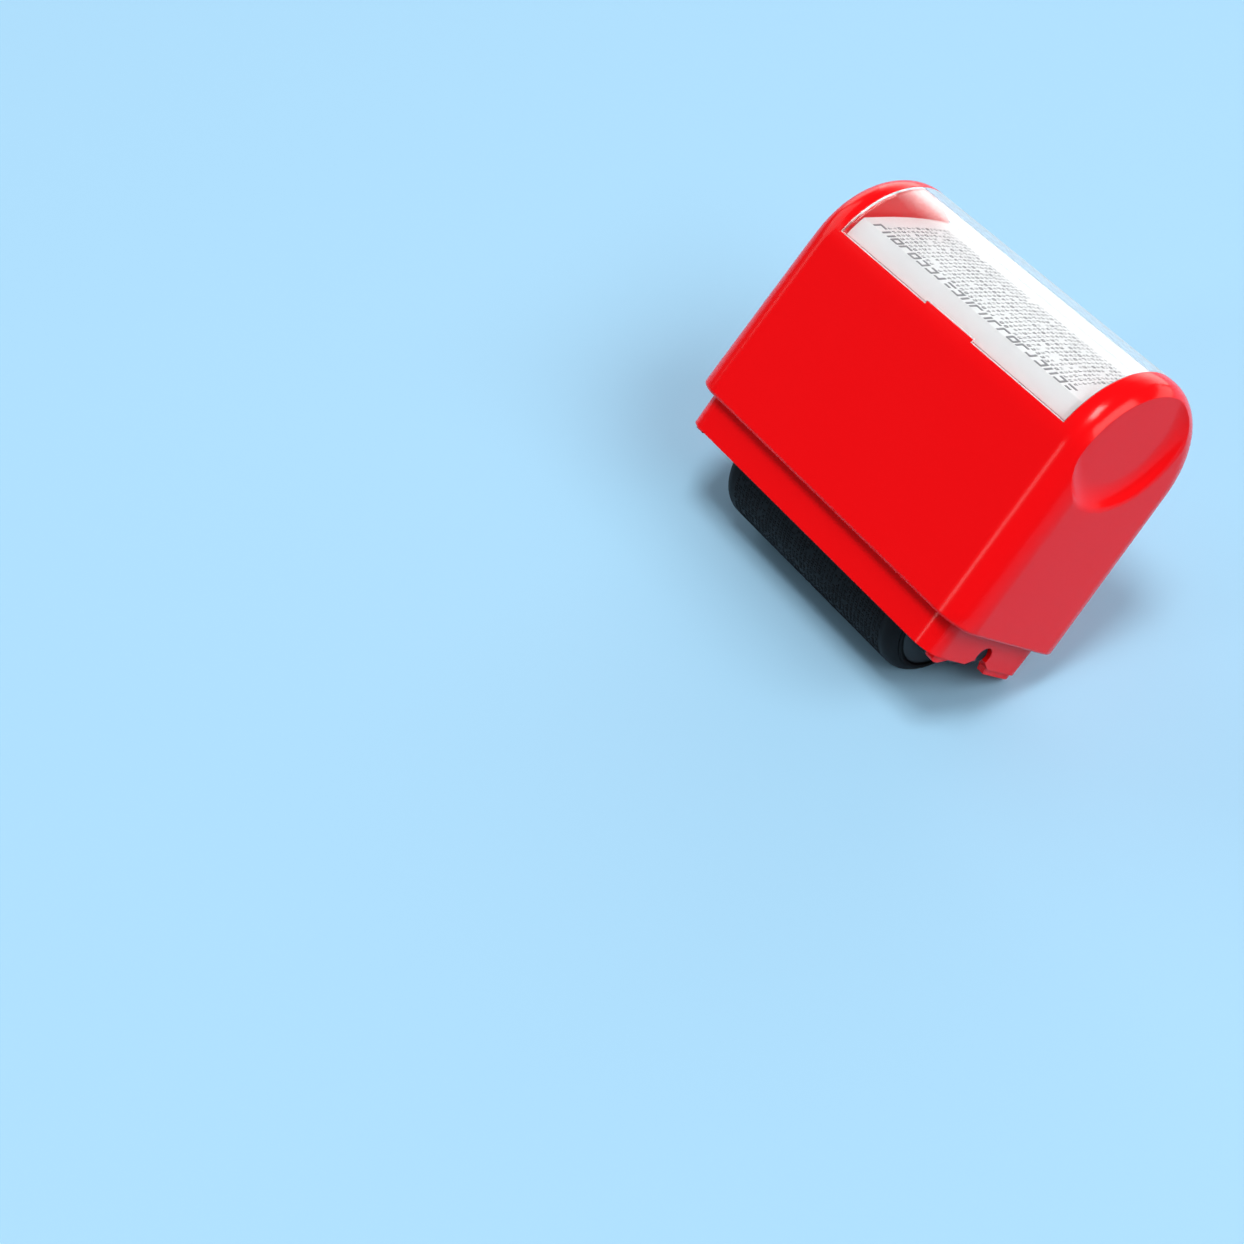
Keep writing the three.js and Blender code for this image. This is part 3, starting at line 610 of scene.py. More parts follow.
@dataclass(frozen=True)
class Finish:
    """A finish of the stamp, with the usual values of a plain moulding."""

    name: str
    slot: str
    colour: Colour
    roughness: float
    worn_colour: Colour
    metallic: float = 0.0
    specular: float = 0.5
    rough_swing: float = 0.1
    grain_scale: float = 2600.0
    grain_height: float = 0.000002
    slow_scale: float = 60.0
    slow_share: float = 0.5
    smear_scale: float = 90.0
    scratch_scale: float = 700.0
    edge_radius: float = 0.0002
    wear_radius: float = 0.0004
    wear: float = 0.4
    sheen: float = 0.0

    def material(self) -> bpy.types.Material:
        """The material of this finish.

        Returns:
            The material, built once.
        """
        found = bpy.data.materials.get(self.name)
        if found:
            return found
        material = bpy.data.materials.new(self.name)
        material.use_nodes = True
        material.diffuse_color = (*self.colour, 1.0)
        bench = NodeBench(material.node_tree)
        self.dress(bench, material.node_tree.nodes["Principled BSDF"])
        return material

    @staticmethod
    def effect(bench: NodeBench, effect: Effect, **values: float) -> Any:
        """Places a shared effect.

        Args:
            bench: The material's bench.
            effect: The effect.
            **values: The effect's inputs by name, with _ for a blank.

        Returns:
            The effect's outputs.
        """
        node = bench.tree.nodes.new("ShaderNodeGroup")
        node.node_tree = Effects.get(effect)
        for name, value in values.items():
            node.inputs[name.replace("_", " ")].default_value = value
        return node.outputs

    def handling(self, bench: NodeBench) -> bpy.types.NodeSocket:
        """The handling marks of this finish, as a mask."""
        scales = {"Smear_Scale": self.smear_scale, "Scratch_Scale": self.scratch_scale}
        return self.effect(bench, Effect.HANDLING, **scales, Amount=1.0)["Mask"]

    def tones(self, bench: NodeBench, mask: bpy.types.NodeSocket) -> bpy.types.NodeSocket:
        """The finish's colour, worn where the mask says.

        Args:
            bench: The material's bench.
            mask: Where it is worn.

        Returns:
            The colour.
        """
        mix = bench.add("ShaderNodeMix", {"data_type": "RGBA"}, i0=mask)
        first, second = (socket for socket in mix.inputs if socket.type == "RGBA")
        first.default_value = (*self.colour, 1.0)
        second.default_value = (*self.worn_colour, 1.0)
        return next(socket for socket in mix.outputs if socket.type == "RGBA")

    def normal(self, bench: NodeBench, height: bpy.types.NodeSocket) -> bpy.types.NodeSocket:
        """The normal that a height gives on softened edges.

        Args:
            bench: The material's bench.
            height: The height.

        Returns:
            The normal.
        """
        soft = self.effect(bench, Effect.SOFT_EDGE, Radius=self.edge_radius)["Normal"]
        bump = bench.add("ShaderNodeBump", Height=height, Normal=soft, Distance=self.grain_height)
        return bump.outputs[0]

    def worn(self, bench: NodeBench) -> bpy.types.NodeSocket:
        """The rubbed edges of this finish, as a mask."""
        return self.effect(bench, Effect.EDGE_WEAR, Radius=self.wear_radius, Amount=self.wear)["Mask"]

    def rough(self, bench: NodeBench, mask: bpy.types.NodeSocket) -> bpy.types.NodeSocket:
        """The roughness that a mask gives."""
        return bench.value("MULTIPLY_ADD", mask, self.rough_swing, self.roughness)

    def join(self, bench: NodeBench, shader: bpy.types.Node, *masks: bpy.types.NodeSocket) -> None:
        """Joins three masks to the shader.

        Args:
            bench: The material's bench.
            shader: Its shader.
            *masks: Where the worn colour shows, where it is rougher, and the height.
        """
        worn, marks, height = masks
        link = bench.tree.links.new
        link(self.tones(bench, worn), shader.inputs["Base Color"])
        link(self.rough(bench, marks), shader.inputs["Roughness"])
        link(self.normal(bench, height), shader.inputs["Normal"])
        shader.inputs["Metallic"].default_value = self.metallic
        shader.inputs["Specular IOR Level"].default_value = self.specular
        shader.inputs["Sheen Weight"].default_value = self.sheen

    def dress(self, bench: NodeBench, shader: bpy.types.Node) -> None:
        """Gives the shader moulded grain, handling marks and rubbed edges.

        Args:
            bench: The material's bench.
            shader: Its shader.
        """
        scales = {"Fine_Scale": self.grain_scale, "Slow_Scale": self.slow_scale}
        grain = self.effect(bench, Effect.GRAIN, **scales, Slow_Share=self.slow_share)["Height"]
        self.join(bench, shader, self.worn(bench), self.handling(bench), grain)


@dataclass(frozen=True)
class ClearFinish(Finish):
    """Clear moulded plastic that lets the light through to what lies under it."""

    index: float = 1.49
    sheen: float = 1.0
    sheen_roughness: float = 0.4
    shadow_colour: Colour = (0.94, 0.95, 0.96)

    def dress(self, bench: NodeBench, shader: bpy.types.Node) -> None:
        """Makes the shader clear and lets its shadow pass light.

        Args:
            bench: The material's bench.
            shader: Its shader.
        """
        link = bench.tree.links.new
        link(self.rough(bench, self.handling(bench)), shader.inputs["Roughness"])
        shader.inputs["Base Color"].default_value = (*self.colour, 1.0)
        shader.inputs["Transmission Weight"].default_value = 1.0
        shader.inputs["IOR"].default_value = self.index
        shader.inputs["Sheen Weight"].default_value = self.sheen
        shader.inputs["Sheen Roughness"].default_value = self.sheen_roughness
        path = bench.add("ShaderNodeLightPath").outputs
        soft = bench.value("MAXIMUM", path["Is Shadow Ray"], path["Is Diffuse Ray"])
        clear = bench.add("ShaderNodeBsdfTransparent", Color=(*self.shadow_colour, 1.0))
        mix = bench.add("ShaderNodeMixShader", i0=soft, i1=shader.outputs[0], i2=clear.outputs[0])
        link(mix.outputs[0], bench.tree.nodes["Material Output"].inputs["Surface"])


@dataclass(frozen=True)
class FibreFinish(Finish):
    """A surface of pressed fibres, such as card or felt."""

    fibre_scale: float = 1500.0
    cloud_scale: float = 140.0
    blend_gain: float = 1.6

    def dress(self, bench: NodeBench, shader: bpy.types.Node) -> None:
        """Gives the shader a fibrous colour and height.

        Args:
            bench: The material's bench.
            shader: Its shader.
        """
        scales = {"Fibre_Scale": self.fibre_scale, "Cloud_Scale": self.cloud_scale}
        felted = self.effect(bench, Effect.FIBRES, **scales)
        blend = felted["Blend"]
        self.join(bench, shader, bench.value("MULTIPLY", blend, self.blend_gain), blend, felted["Height"])


@dataclass(frozen=True)
class DrawnSteelFinish(Finish):
    """Steel with the fine rings that turning leaves along X."""

    metallic: float = 1.0
    smear_scale: float = 200.0
    scratch_scale: float = 1500.0
    wear_radius: float = 0.0003
    ring_scale: float = 6000.0

    def dress(self, bench: NodeBench, shader: bpy.types.Node) -> None:
        """Gives the shader turned rings and rubbed edges.

        Args:
            bench: The material's bench.
            shader: Its shader.
        """
        line = self.effect(bench, Effect.RINGS, Ring_Scale=self.ring_scale)["Height"]
        self.join(bench, shader, self.worn(bench), self.handling(bench), line)


RED_GLOSS = Finish(
    name="red_gloss_plastic",
    slot="red_gloss",
    colour=(0.86, 0.002, 0.004),
    roughness=0.15,
    worn_colour=(0.88, 0.03, 0.03),
    specular=0.2,
    rough_swing=0.08,
)
BLACK_SATIN = Finish(
    name="black_satin_plastic",
    slot="black_satin",
    colour=(0.012, 0.011, 0.014),
    roughness=0.42,
    worn_colour=(0.03, 0.03, 0.032),
)
PRINT_RUBBER = Finish(
    name="black_print_rubber",
    slot="print_rubber",
    colour=(0.006, 0.005, 0.006),
    roughness=0.5,
    worn_colour=(0.014, 0.013, 0.014),
    specular=0.12,
    rough_swing=0.2,
    grain_scale=1800.0,
    grain_height=0.00001,
)
CLEAR_WINDOW = ClearFinish(
    name="clear_window_plastic",
    slot="clear_window",
    colour=(0.99, 0.995, 1.0),
    roughness=0.03,
    worn_colour=(1.0, 1.0, 1.0),
    rough_swing=0.05,
    smear_scale=120.0,
    scratch_scale=900.0,
)
CARD_WHITE = FibreFinish(
    name="white_label_card",
    slot="card_white",
    colour=(0.80, 0.80, 0.80),
    roughness=0.55,
    worn_colour=(0.74, 0.74, 0.74),
    grain_height=0.000004,
)
CARD_PRINT = FibreFinish(
    name="grey_print_on_card",
    slot="card_white",
    colour=(0.16, 0.16, 0.17),
    roughness=0.5,
    worn_colour=(0.30, 0.30, 0.31),
    grain_height=0.000003,
)
CARD_PRINT_FINE = FibreFinish(
    name="pale_print_on_card",
    slot="card_white",
    colour=(0.34, 0.34, 0.35),
    roughness=0.5,
    worn_colour=(0.46, 0.46, 0.47),
    grain_height=0.000003,
)
INK_FELT = FibreFinish(
    name="ink_soaked_felt",
    slot="ink_felt",
    colour=(0.008, 0.009, 0.016),
    roughness=0.7,
    worn_colour=(0.03, 0.033, 0.05),
    fibre_scale=2200.0,
    grain_height=0.00012,
    edge_radius=0.0003,
    sheen=0.4,
)
DARK_STEEL = DrawnSteelFinish(
    name="blackened_steel",
    slot="dark_steel",
    colour=(0.02, 0.02, 0.022),
    roughness=0.45,
    worn_colour=(0.2, 0.2, 0.21),
)
BRIGHT_STEEL = DrawnSteelFinish(
    name="bright_drawn_steel",
    slot="bright_steel",
    colour=(0.58, 0.59, 0.61),
    roughness=0.25,
    worn_colour=(0.75, 0.75, 0.76),
)


@dataclass(frozen=True)
class StampPose:
    """Where the stamp rests on the table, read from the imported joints."""

    origin: Vector
    up: Vector

    @classmethod
    def from_joints(cls, joints: Sequence[dict[str, Any]]) -> "StampPose":
        """The pose that the print roller's and the housing's joints give.

        Args:
            joints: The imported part's joints.

        Returns:
            The pose.
        """
        named = {joint["name"]: joint for joint in joints}
        return cls(Vector(named["print_roller_turn"]["pos_m"]), Vector(named["housing_lift"]["axis"]))

    def matrix(self) -> Matrix:
        """Takes the stamp's millimetres to metres on the table.

        Returns:
            The matrix.
        """
        along = Vector((1.0, 0.0, 0.0))
        back = self.up.cross(along)
        turn = Matrix((along, back, self.up)).transposed().to_4x4()
        return Matrix.Translation(self.origin) @ turn @ Matrix.Scale(MILLIMETRE, 4)


class Workshop:
    """Finishes solids and hands them to the bodies they ride on."""

    merge: float = 2e-6
    sliver: float = 1e-6

    def __init__(self, pose: StampPose) -> None:
        """Keeps where the stamp rests."""
        self.matrix = pose.matrix()
        self.made: list[bpy.types.Object] = []

    def smooth(self, obj: bpy.types.Object, sharp: float) -> None:
        """Shades a mesh smooth but for its sharp edges.

        Args:
            obj: The object, in metres.
            sharp: The least angle of a sharp edge in degrees.
        """
        bm = bmesh.new()
        bm.from_mesh(obj.data)
        bmesh.ops.remove_doubles(bm, verts=bm.verts, dist=self.merge)
        bmesh.ops.dissolve_degenerate(bm, edges=bm.edges, dist=self.sliver)
        limit = math.radians(sharp)
        for face in bm.faces:
            face.smooth = True
        for edge in bm.edges:
            edge.smooth = len(edge.link_faces) == 2 and edge.calc_face_angle(0.0) < limit
        bm.to_mesh(obj.data)
        bm.free()
        step = obj.modifiers.new("flats", "WEIGHTED_NORMAL")
        step.keep_sharp = True
        old = obj.data
        mesh = baked_mesh(obj)
        obj.modifiers.remove(step)
        obj.data = mesh
        bpy.data.meshes.remove(old)

    def deliver(
        self, piece: Solid, name: str, finish: Finish, body: Body, nodes: Sequence[str], sharp: float = 32.0
    ) -> bpy.types.Object:
        """Places, smooths and dresses a solid, and lets it ride.

        Args:
            piece: The solid in the stamp's millimetres.
            name: The finished piece's name.
            finish: What it is made of.
            body: The body that it rides on.
            nodes: The CAD nodes that it stands for.
            sharp: The least angle of a sharp edge in degrees.

        Returns:
            The finished object.
        """
        obj = piece.obj
        obj.name = name
        obj.data.transform(self.matrix)
        self.smooth(obj, sharp)
        return self.dress(obj, finish, body, nodes)

    def dress(
        self, obj: bpy.types.Object, finish: Finish, body: Body, nodes: Sequence[str]
    ) -> bpy.types.Object:
        """Gives a finished mesh its material and its body.

        Args:
            obj: The finished object.
            finish: What it is made of.
            body: The body that it rides on.
            nodes: The CAD nodes that it stands for.

        Returns:
            The same object.
        """
        obj.data.name = obj.name
        obj.data.materials.clear()
        obj.data.materials.append(finish.material())
        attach(obj, body.value)
        if nodes:
            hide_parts(*nodes)
        self.made.append(obj)
        LOG.info("%s: %d faces on %s", obj.name, len(obj.data.polygons), body.value)
        return obj


def ring_profile(
    bore: float, radius: float, low: float, high: float, edge: float, steps: int = 4
) -> list[Point2]:
    """A tube's profile with its four edges rounded.

    Args:
        bore: The inner radius.
        radius: The outer radius.
        low: Where it starts along X.
        high: Where it ends.
        edge: The outer edges' round; the bore's edges have a third of it.
        steps: The chords of a round.

    Returns:
        A closed loop of (radius, x) points.
    """
    small = edge / 3
    points = arc((radius - edge, low + edge), edge, -0.5 * math.pi, 0.0, steps)
    points += arc((radius - edge, high - edge), edge, 0.0, 0.5 * math.pi, steps)
    points += arc((bore + small, high - small), small, 0.5 * math.pi, math.pi, steps=2)
    points += arc((bore + small, low + small), small, math.pi, 1.5 * math.pi, steps=2)
    return points


@dataclass
class Cover:
    """The hood with its thumb dishes, the label card on its deck and the clear window over it."""

    length: float = 65.0
    depth: float = 30.4
    wall: float = 1.0
    rim: float = 3.9
    arch: float = 14.8
    corner: float = 5.3
    rim_round: float = 0.7
    lean: float = 1.35
    dish_radius: float = 13.4
    dish_depth: float = 1.6
    dish_slope: float = 0.68
    dish_lip: float = 1.9
    dish_lip_end: float = 0.14
    dish_height: float = 36.1
    dish_forward: float = 6.3
    rib_face: float = 28.9
    rib_back: float = 32.0
    rib_low: float = 6.3
    rib_head: float = 4.5
    rib_stop: float = 1.9
    rib_half: float = 0.6
    rib_y: float = 8.0
    window_length: float = 50.2
    window_edge: float = 2.95
    lip_length: float = 10.3
    lip_height: float = 0.55
    card_fold: float = 6.0
    card_slope: float = 0.29
    card_radius: float = 150.0
    card_wall: float = 0.35
    gap: float = 0.3
    fit: float = 0.08
    mark_lift: float = 0.02
    mark_shift: float = -0.4
    arch_steps: int = 72
    corner_steps: int = 18
    head_room: float = 2.0

    @property
    def top(self) -> float:
        """The highest point of the arch."""
        return ARCH_CENTRE + self.arch

    @property
    def sill(self) -> float:
        """The recess's floor along its long edges."""
        return ARCH_CENTRE + self.window_edge - self.gap

    @property
    def slope(self) -> float:
        """How fast the walls spread towards the rim."""
        return (self.depth / 2 - self.arch) / (ARCH_CENTRE - self.rim)

    def section(self, inset: float) -> list[Point2]:
        """The hood's outline in Y and Z, drawn in by inset.

        Args:
            inset: How far it is drawn in.

        Returns:
            The outline from the front rim over the arch to the back rim.
        """
        low = self.rim - self.corner - CUT_DEPTH
        radius = self.arch - inset
        half = radius + self.slope * (ARCH_CENTRE - low)
        steps = 10
        rise = [
            (half + (radius - half) * i / steps, low + (ARCH_CENTRE - low) * i / steps) for i in range(steps)
        ]
        fall = [(-y, z) for y, z in reversed(rise)]
        return rise + arc((0.0, ARCH_CENTRE), radius, 0.0, math.pi, self.arch_steps) + fall

    def hood(self, inset: float) -> Solid:
        """The hood's form drawn in by inset on every side, open past the rim.

        Args:
            inset: How far it is drawn in.

        Returns:
            The form.
        """
        rounding = self.corner - inset
        steps = self.corner_steps
        rings: list[list[Point3]] = []
        for i in range(steps + 1):
            turn = 0.5 * math.pi * (1 - i / steps)
            x = self.length / 2 - inset - rounding * (1 - math.sin(turn))
            outline = self.section(inset + rounding * (1 - math.cos(turn)))
            rings.append([(x, y, z) for y, z in outline])
        rings += [[(-x, y, z) for x, y, z in ring] for ring in reversed(rings)]
        rate = self.lean / (self.top - self.rim) / (self.length / 2)
        return Solid.loft(rings).reshape(lambda p: Vector((p.x * (1 - rate * (p.z - self.rim)), p.y, p.z)))

    def rim_block(self) -> Solid:
        """The block with round lower edges that bounds the hood below.

        Returns:
            The block.
        """
        rings: list[list[Point3]] = []
        steps = 8
        for i in range(steps + 1):
            turn = 0.5 * math.pi * i / steps
            inset = self.rim_round * (1 - math.sin(turn))
            half_x, half_y = self.length / 2 - inset, self.depth / 2 - inset
            plan = rounded_rectangle(half_x, half_y, self.corner - inset, self.corner_steps)
            z = self.rim + self.rim_round * (1 - math.cos(turn))
            rings.append([(x, y, z) for x, y in plan])
        rings.append([(x, y, self.top + self.head_room) for x, y, _ in rings[-1]])
        return Solid.loft(rings)

    def dish(self, side: int, wall: float) -> Solid:
        """The plug that sinks a thumb dish into one end, grown by wall.

        Its floor is parallel to the end's face, and its wall rises in a hollow round and rolls out in a lip.

        Args:
            side: 1 for the right end, -1 for the left.
            wall: How far the plug is grown.

        Returns:
            The plug.
        """
        rounds = self.dish_depth / (1 - math.cos(self.dish_slope))
        flat = self.dish_radius - rounds * math.sin(self.dish_slope)
        hollow = rounds - self.dish_lip
        down, slope, end = -0.5 * math.pi, self.dish_slope, self.dish_lip_end
        points = [(0.0, -self.dish_depth - wall)]
        points += arc((flat, hollow - self.dish_depth), hollow + wall, down, down + slope, steps=16)
        up, lip = 0.5 * math.pi, self.dish_lip
        points += arc((self.dish_radius, -lip), lip - wall, up + slope, up + end, steps=10)[1:]
        last = points[-1]
        wide = last[0] + CUT_DEPTH
        points += [(wide, last[1] + CUT_DEPTH * math.tan(end)), (wide, CUT_DEPTH), (0.0, CUT_DEPTH)]
        plug = Solid.turned([(r, side * x) for r, x in points], sides=144)
        lean = self.lean / (self.top - self.rim)
        out = self.length / 2 - lean * self.dish_height
        place = Vector((side * out, -self.dish_forward, self.rim + self.dish_height))
        tilt = Matrix.Translation(place) @ Matrix.Rotation(-side * math.atan(lean), 4, "Y")
        return plug.reshape(lambda p: tilt @ p)

    @property
    def card_apart(self) -> float:
        """How far the centre of the card's shallow bow lies from the arch's centre.

        Returns:
            The distance.
        """
        flank = self.arch - self.wall - self.gap
        fold = math.asin(self.card_fold / flank)
        rise = flank * math.sin(fold + self.card_slope)
        across = flank * math.cos(fold + self.card_slope)
        return math.sqrt(self.card_radius**2 - across**2) - rise

    def deck_outline(self, inset: float) -> list[Point2]:
        """The card's outline drawn in by inset.

        Its flanks follow the window, and its slightly bowed face rises to the back.

        Args:
            inset: How far it is drawn in.

        Returns:
            The outline in Y and Z.
        """
        flank = self.arch - self.wall - self.gap - inset
        crown = self.card_radius - inset
        apart, tilt = self.card_apart, self.card_slope
        centre = (apart * math.sin(tilt), ARCH_CENTRE - apart * math.cos(tilt))
        start = math.asin((crown**2 - flank**2 - apart**2) / (2 * apart * flank))
        meet = math.acos(flank * math.cos(start) / crown)
        points = arc((0.0, ARCH_CENTRE), flank, 0.0, start + tilt, steps=24)
        points += arc(centre, crown, meet + tilt, math.pi - meet + tilt, steps=40)[1:-1]
        return points + arc((0.0, ARCH_CENTRE), flank, math.pi - start + tilt, math.pi, steps=12)

    def recess(self, grow: float) -> Solid:
        """The space over the deck, grown on every side that the hood closes.

        Args:
            grow: How far it is grown.

        Returns:
            The space.
        """
        half = self.window_length / 2 + self.gap + grow
        top = self.top + CUT_DEPTH
        room = Solid.box((-half, -self.depth, self.sill - grow), (half, self.depth, top))
        outline = self.deck_outline(self.card_wall + self.gap + grow)
        return room.less(Solid.prism(outline, Along.X, -self.length, self.length))

    def finger_lip(self, grow: float) -> Solid:
        """The strip of sill that a fingernail lifts the window against.

        Args:
            grow: How far it is grown.

        Returns:
            The strip.
        """
        half = self.lip_length / 2 + grow
        inner = math.sqrt((self.arch - self.wall) ** 2 - self.window_edge**2)
        top = self.sill + self.lip_height + grow
        return Solid.box((-half, -self.depth, self.sill - CUT_DEPTH), (half, grow - inner, top))

    def rib(self, y: float) -> Solid:
        """One rib at the right end that guides the frame and stops on its lid.

        Args:
            y: Its middle.

        Returns:
            The rib.
        """
        stop = LID_HIGH + self.gap
        head = stop + self.rib_head
        outline = [(self.rib_face, self.rib_low), (self.rib_back, self.rib_low), (self.rib_back, head)]
        outline += [(self.rib_face, head), (self.rib_face - self.rib_stop, stop), (self.rib_face, stop)]
        return Solid.prism(outline, Along.Y, y - self.rib_half, y + self.rib_half)

    def shell(self) -> Solid:
        """The finished hood.

        Returns:
            The hood.
        """
        outer = self.hood(0.0).common(self.rim_block()).less(self.dish(-1, 0.0), self.dish(1, 0.0))
        bound = outer.copy(Matrix.Identity(4))
        cavity = self.hood(self.wall).less(self.dish(-1, self.wall), self.dish(1, self.wall))
        cavity.less(self.recess(self.wall))
        ribs = self.rib(-self.rib_y).plus(self.rib(self.rib_y))
        ribs.plus(ribs.copy(Matrix.Rotation(math.pi, 4, "Z")))
        outer.less(cavity).plus(ribs.common(bound))
        outer.less(self.recess(0.0).less(self.finger_lip(0.0)))
        return outer.less(Solid.prism(port_outline(), Along.Z, ARCH_CENTRE, self.top))

    def pane(self) -> Solid:
        """The clear window, an arched pane with its notch over the finger lip.

        Returns:
            The pane.
        """
        inner = self.arch - self.wall
        edge = self.window_edge - self.gap + self.fit
        wide, narrow = math.asin(edge / self.arch), math.asin(edge / inner)
        outline = arc((0.0, ARCH_CENTRE), self.arch, wide, math.pi - wide, self.arch_steps)
        outline += arc((0.0, ARCH_CENTRE), inner, math.pi - narrow, narrow, self.arch_steps)
        half = self.window_length / 2 + self.gap - self.fit
        return Solid.prism(outline, Along.X, -half, half).less(self.finger_lip(self.fit))

    def card(self) -> Solid:
        """The label card, bent over the deck.

        Returns:
            The card.
        """
        half = self.window_length / 2 - self.gap
        full = Solid.prism(self.deck_outline(0.0), Along.X, -half, half)
        under = Solid.prism(self.deck_outline(self.card_wall), Along.X, -self.length, self.length)
        low = Solid.box((-self.length, -self.depth, 0.0), (self.length, self.depth, self.sill + self.fit))
        return full.less(under, low)

    def mark_rows(self) -> list[tuple[str, Finish, MarkRow]]:
        """The card's fields of marks: one row of large ones, then lines of bold and fine ones.

        Returns:
            Each field's name, finish and sizes.
        """
        face, centre = self.card_radius + self.mark_lift, ARCH_CENTRE - self.card_apart
        large = MarkRow(
            radius=face,
            centre=centre,
            length=43.0,
            arc_length=0.0,
            arc_middle=-8.9,
            columns=22,
            rows=1,
            size=1.9,
            height=0.06,
            coverage=1.0,
            seed=3,
        )
        small = replace(large, length=42.0, arc_length=12.36, columns=43, rows=7, coverage=0.93)
        bold = replace(small, arc_middle=-1.12, size=0.64, height=0.05, seed=11)
        fine = replace(small, arc_middle=-0.09, size=0.54, height=0.04, seed=17)
        return [
            ("card_marks_large", CARD_PRINT, large),
            ("card_marks_bold", CARD_PRINT, bold),
            ("card_marks_fine", CARD_PRINT_FINE, fine),
        ]

    def build(self, shop: Workshop) -> None:
        """Makes the hood, the card with its marks and the window.

        Args:
            shop: Where the pieces are finished.
        """
        shop.deliver(self.shell(), "hood_shell", RED_GLOSS, Body.HOUSING, ["housing"])
        shop.deliver(self.card(), "label_card_bent", CARD_WHITE, Body.HOUSING, ["label_card"])
        shop.deliver(self.pane(), "window_pane", CLEAR_WINDOW, Body.WINDOW, ["window"])
        turn = Matrix.Rotation(self.card_slope, 4, "X")
        pivot = Matrix.Translation((0.0, 0.0, ARCH_CENTRE))
        lean = Matrix.Translation((self.mark_shift, 0.0, 0.0)) @ pivot @ turn @ pivot.inverted()
        marks = MarkField(shop)
        for name, finish, row in self.mark_rows():
            marks.lay(row, name, finish, Body.HOUSING, lean)


@dataclass(frozen=True)
class MarkRow:
    """The sizes of one field of small marks on a round surface.

    Attributes:
        radius: The surface's radius.
        centre: The height of the line that it curves about.
        length: From the first column to the last, along X.
        arc_length: From the first row to the last, along the curve.
        arc_middle: The middle of the rows, along the curve from its top.
        columns: The number of columns.
        rows: The number of rows.
        size: The side of the square that a mark fills.
        height: A mark's thickness, half of it over the surface.
        coverage: The share of places that hold a mark.
        seed: The seed of what is left out and which mark stands where.
    """

    radius: float
    centre: float
    length: float
    arc_length: float
    arc_middle: float
    columns: int
    rows: int
    size: float
    height: float
    coverage: float
    seed: int


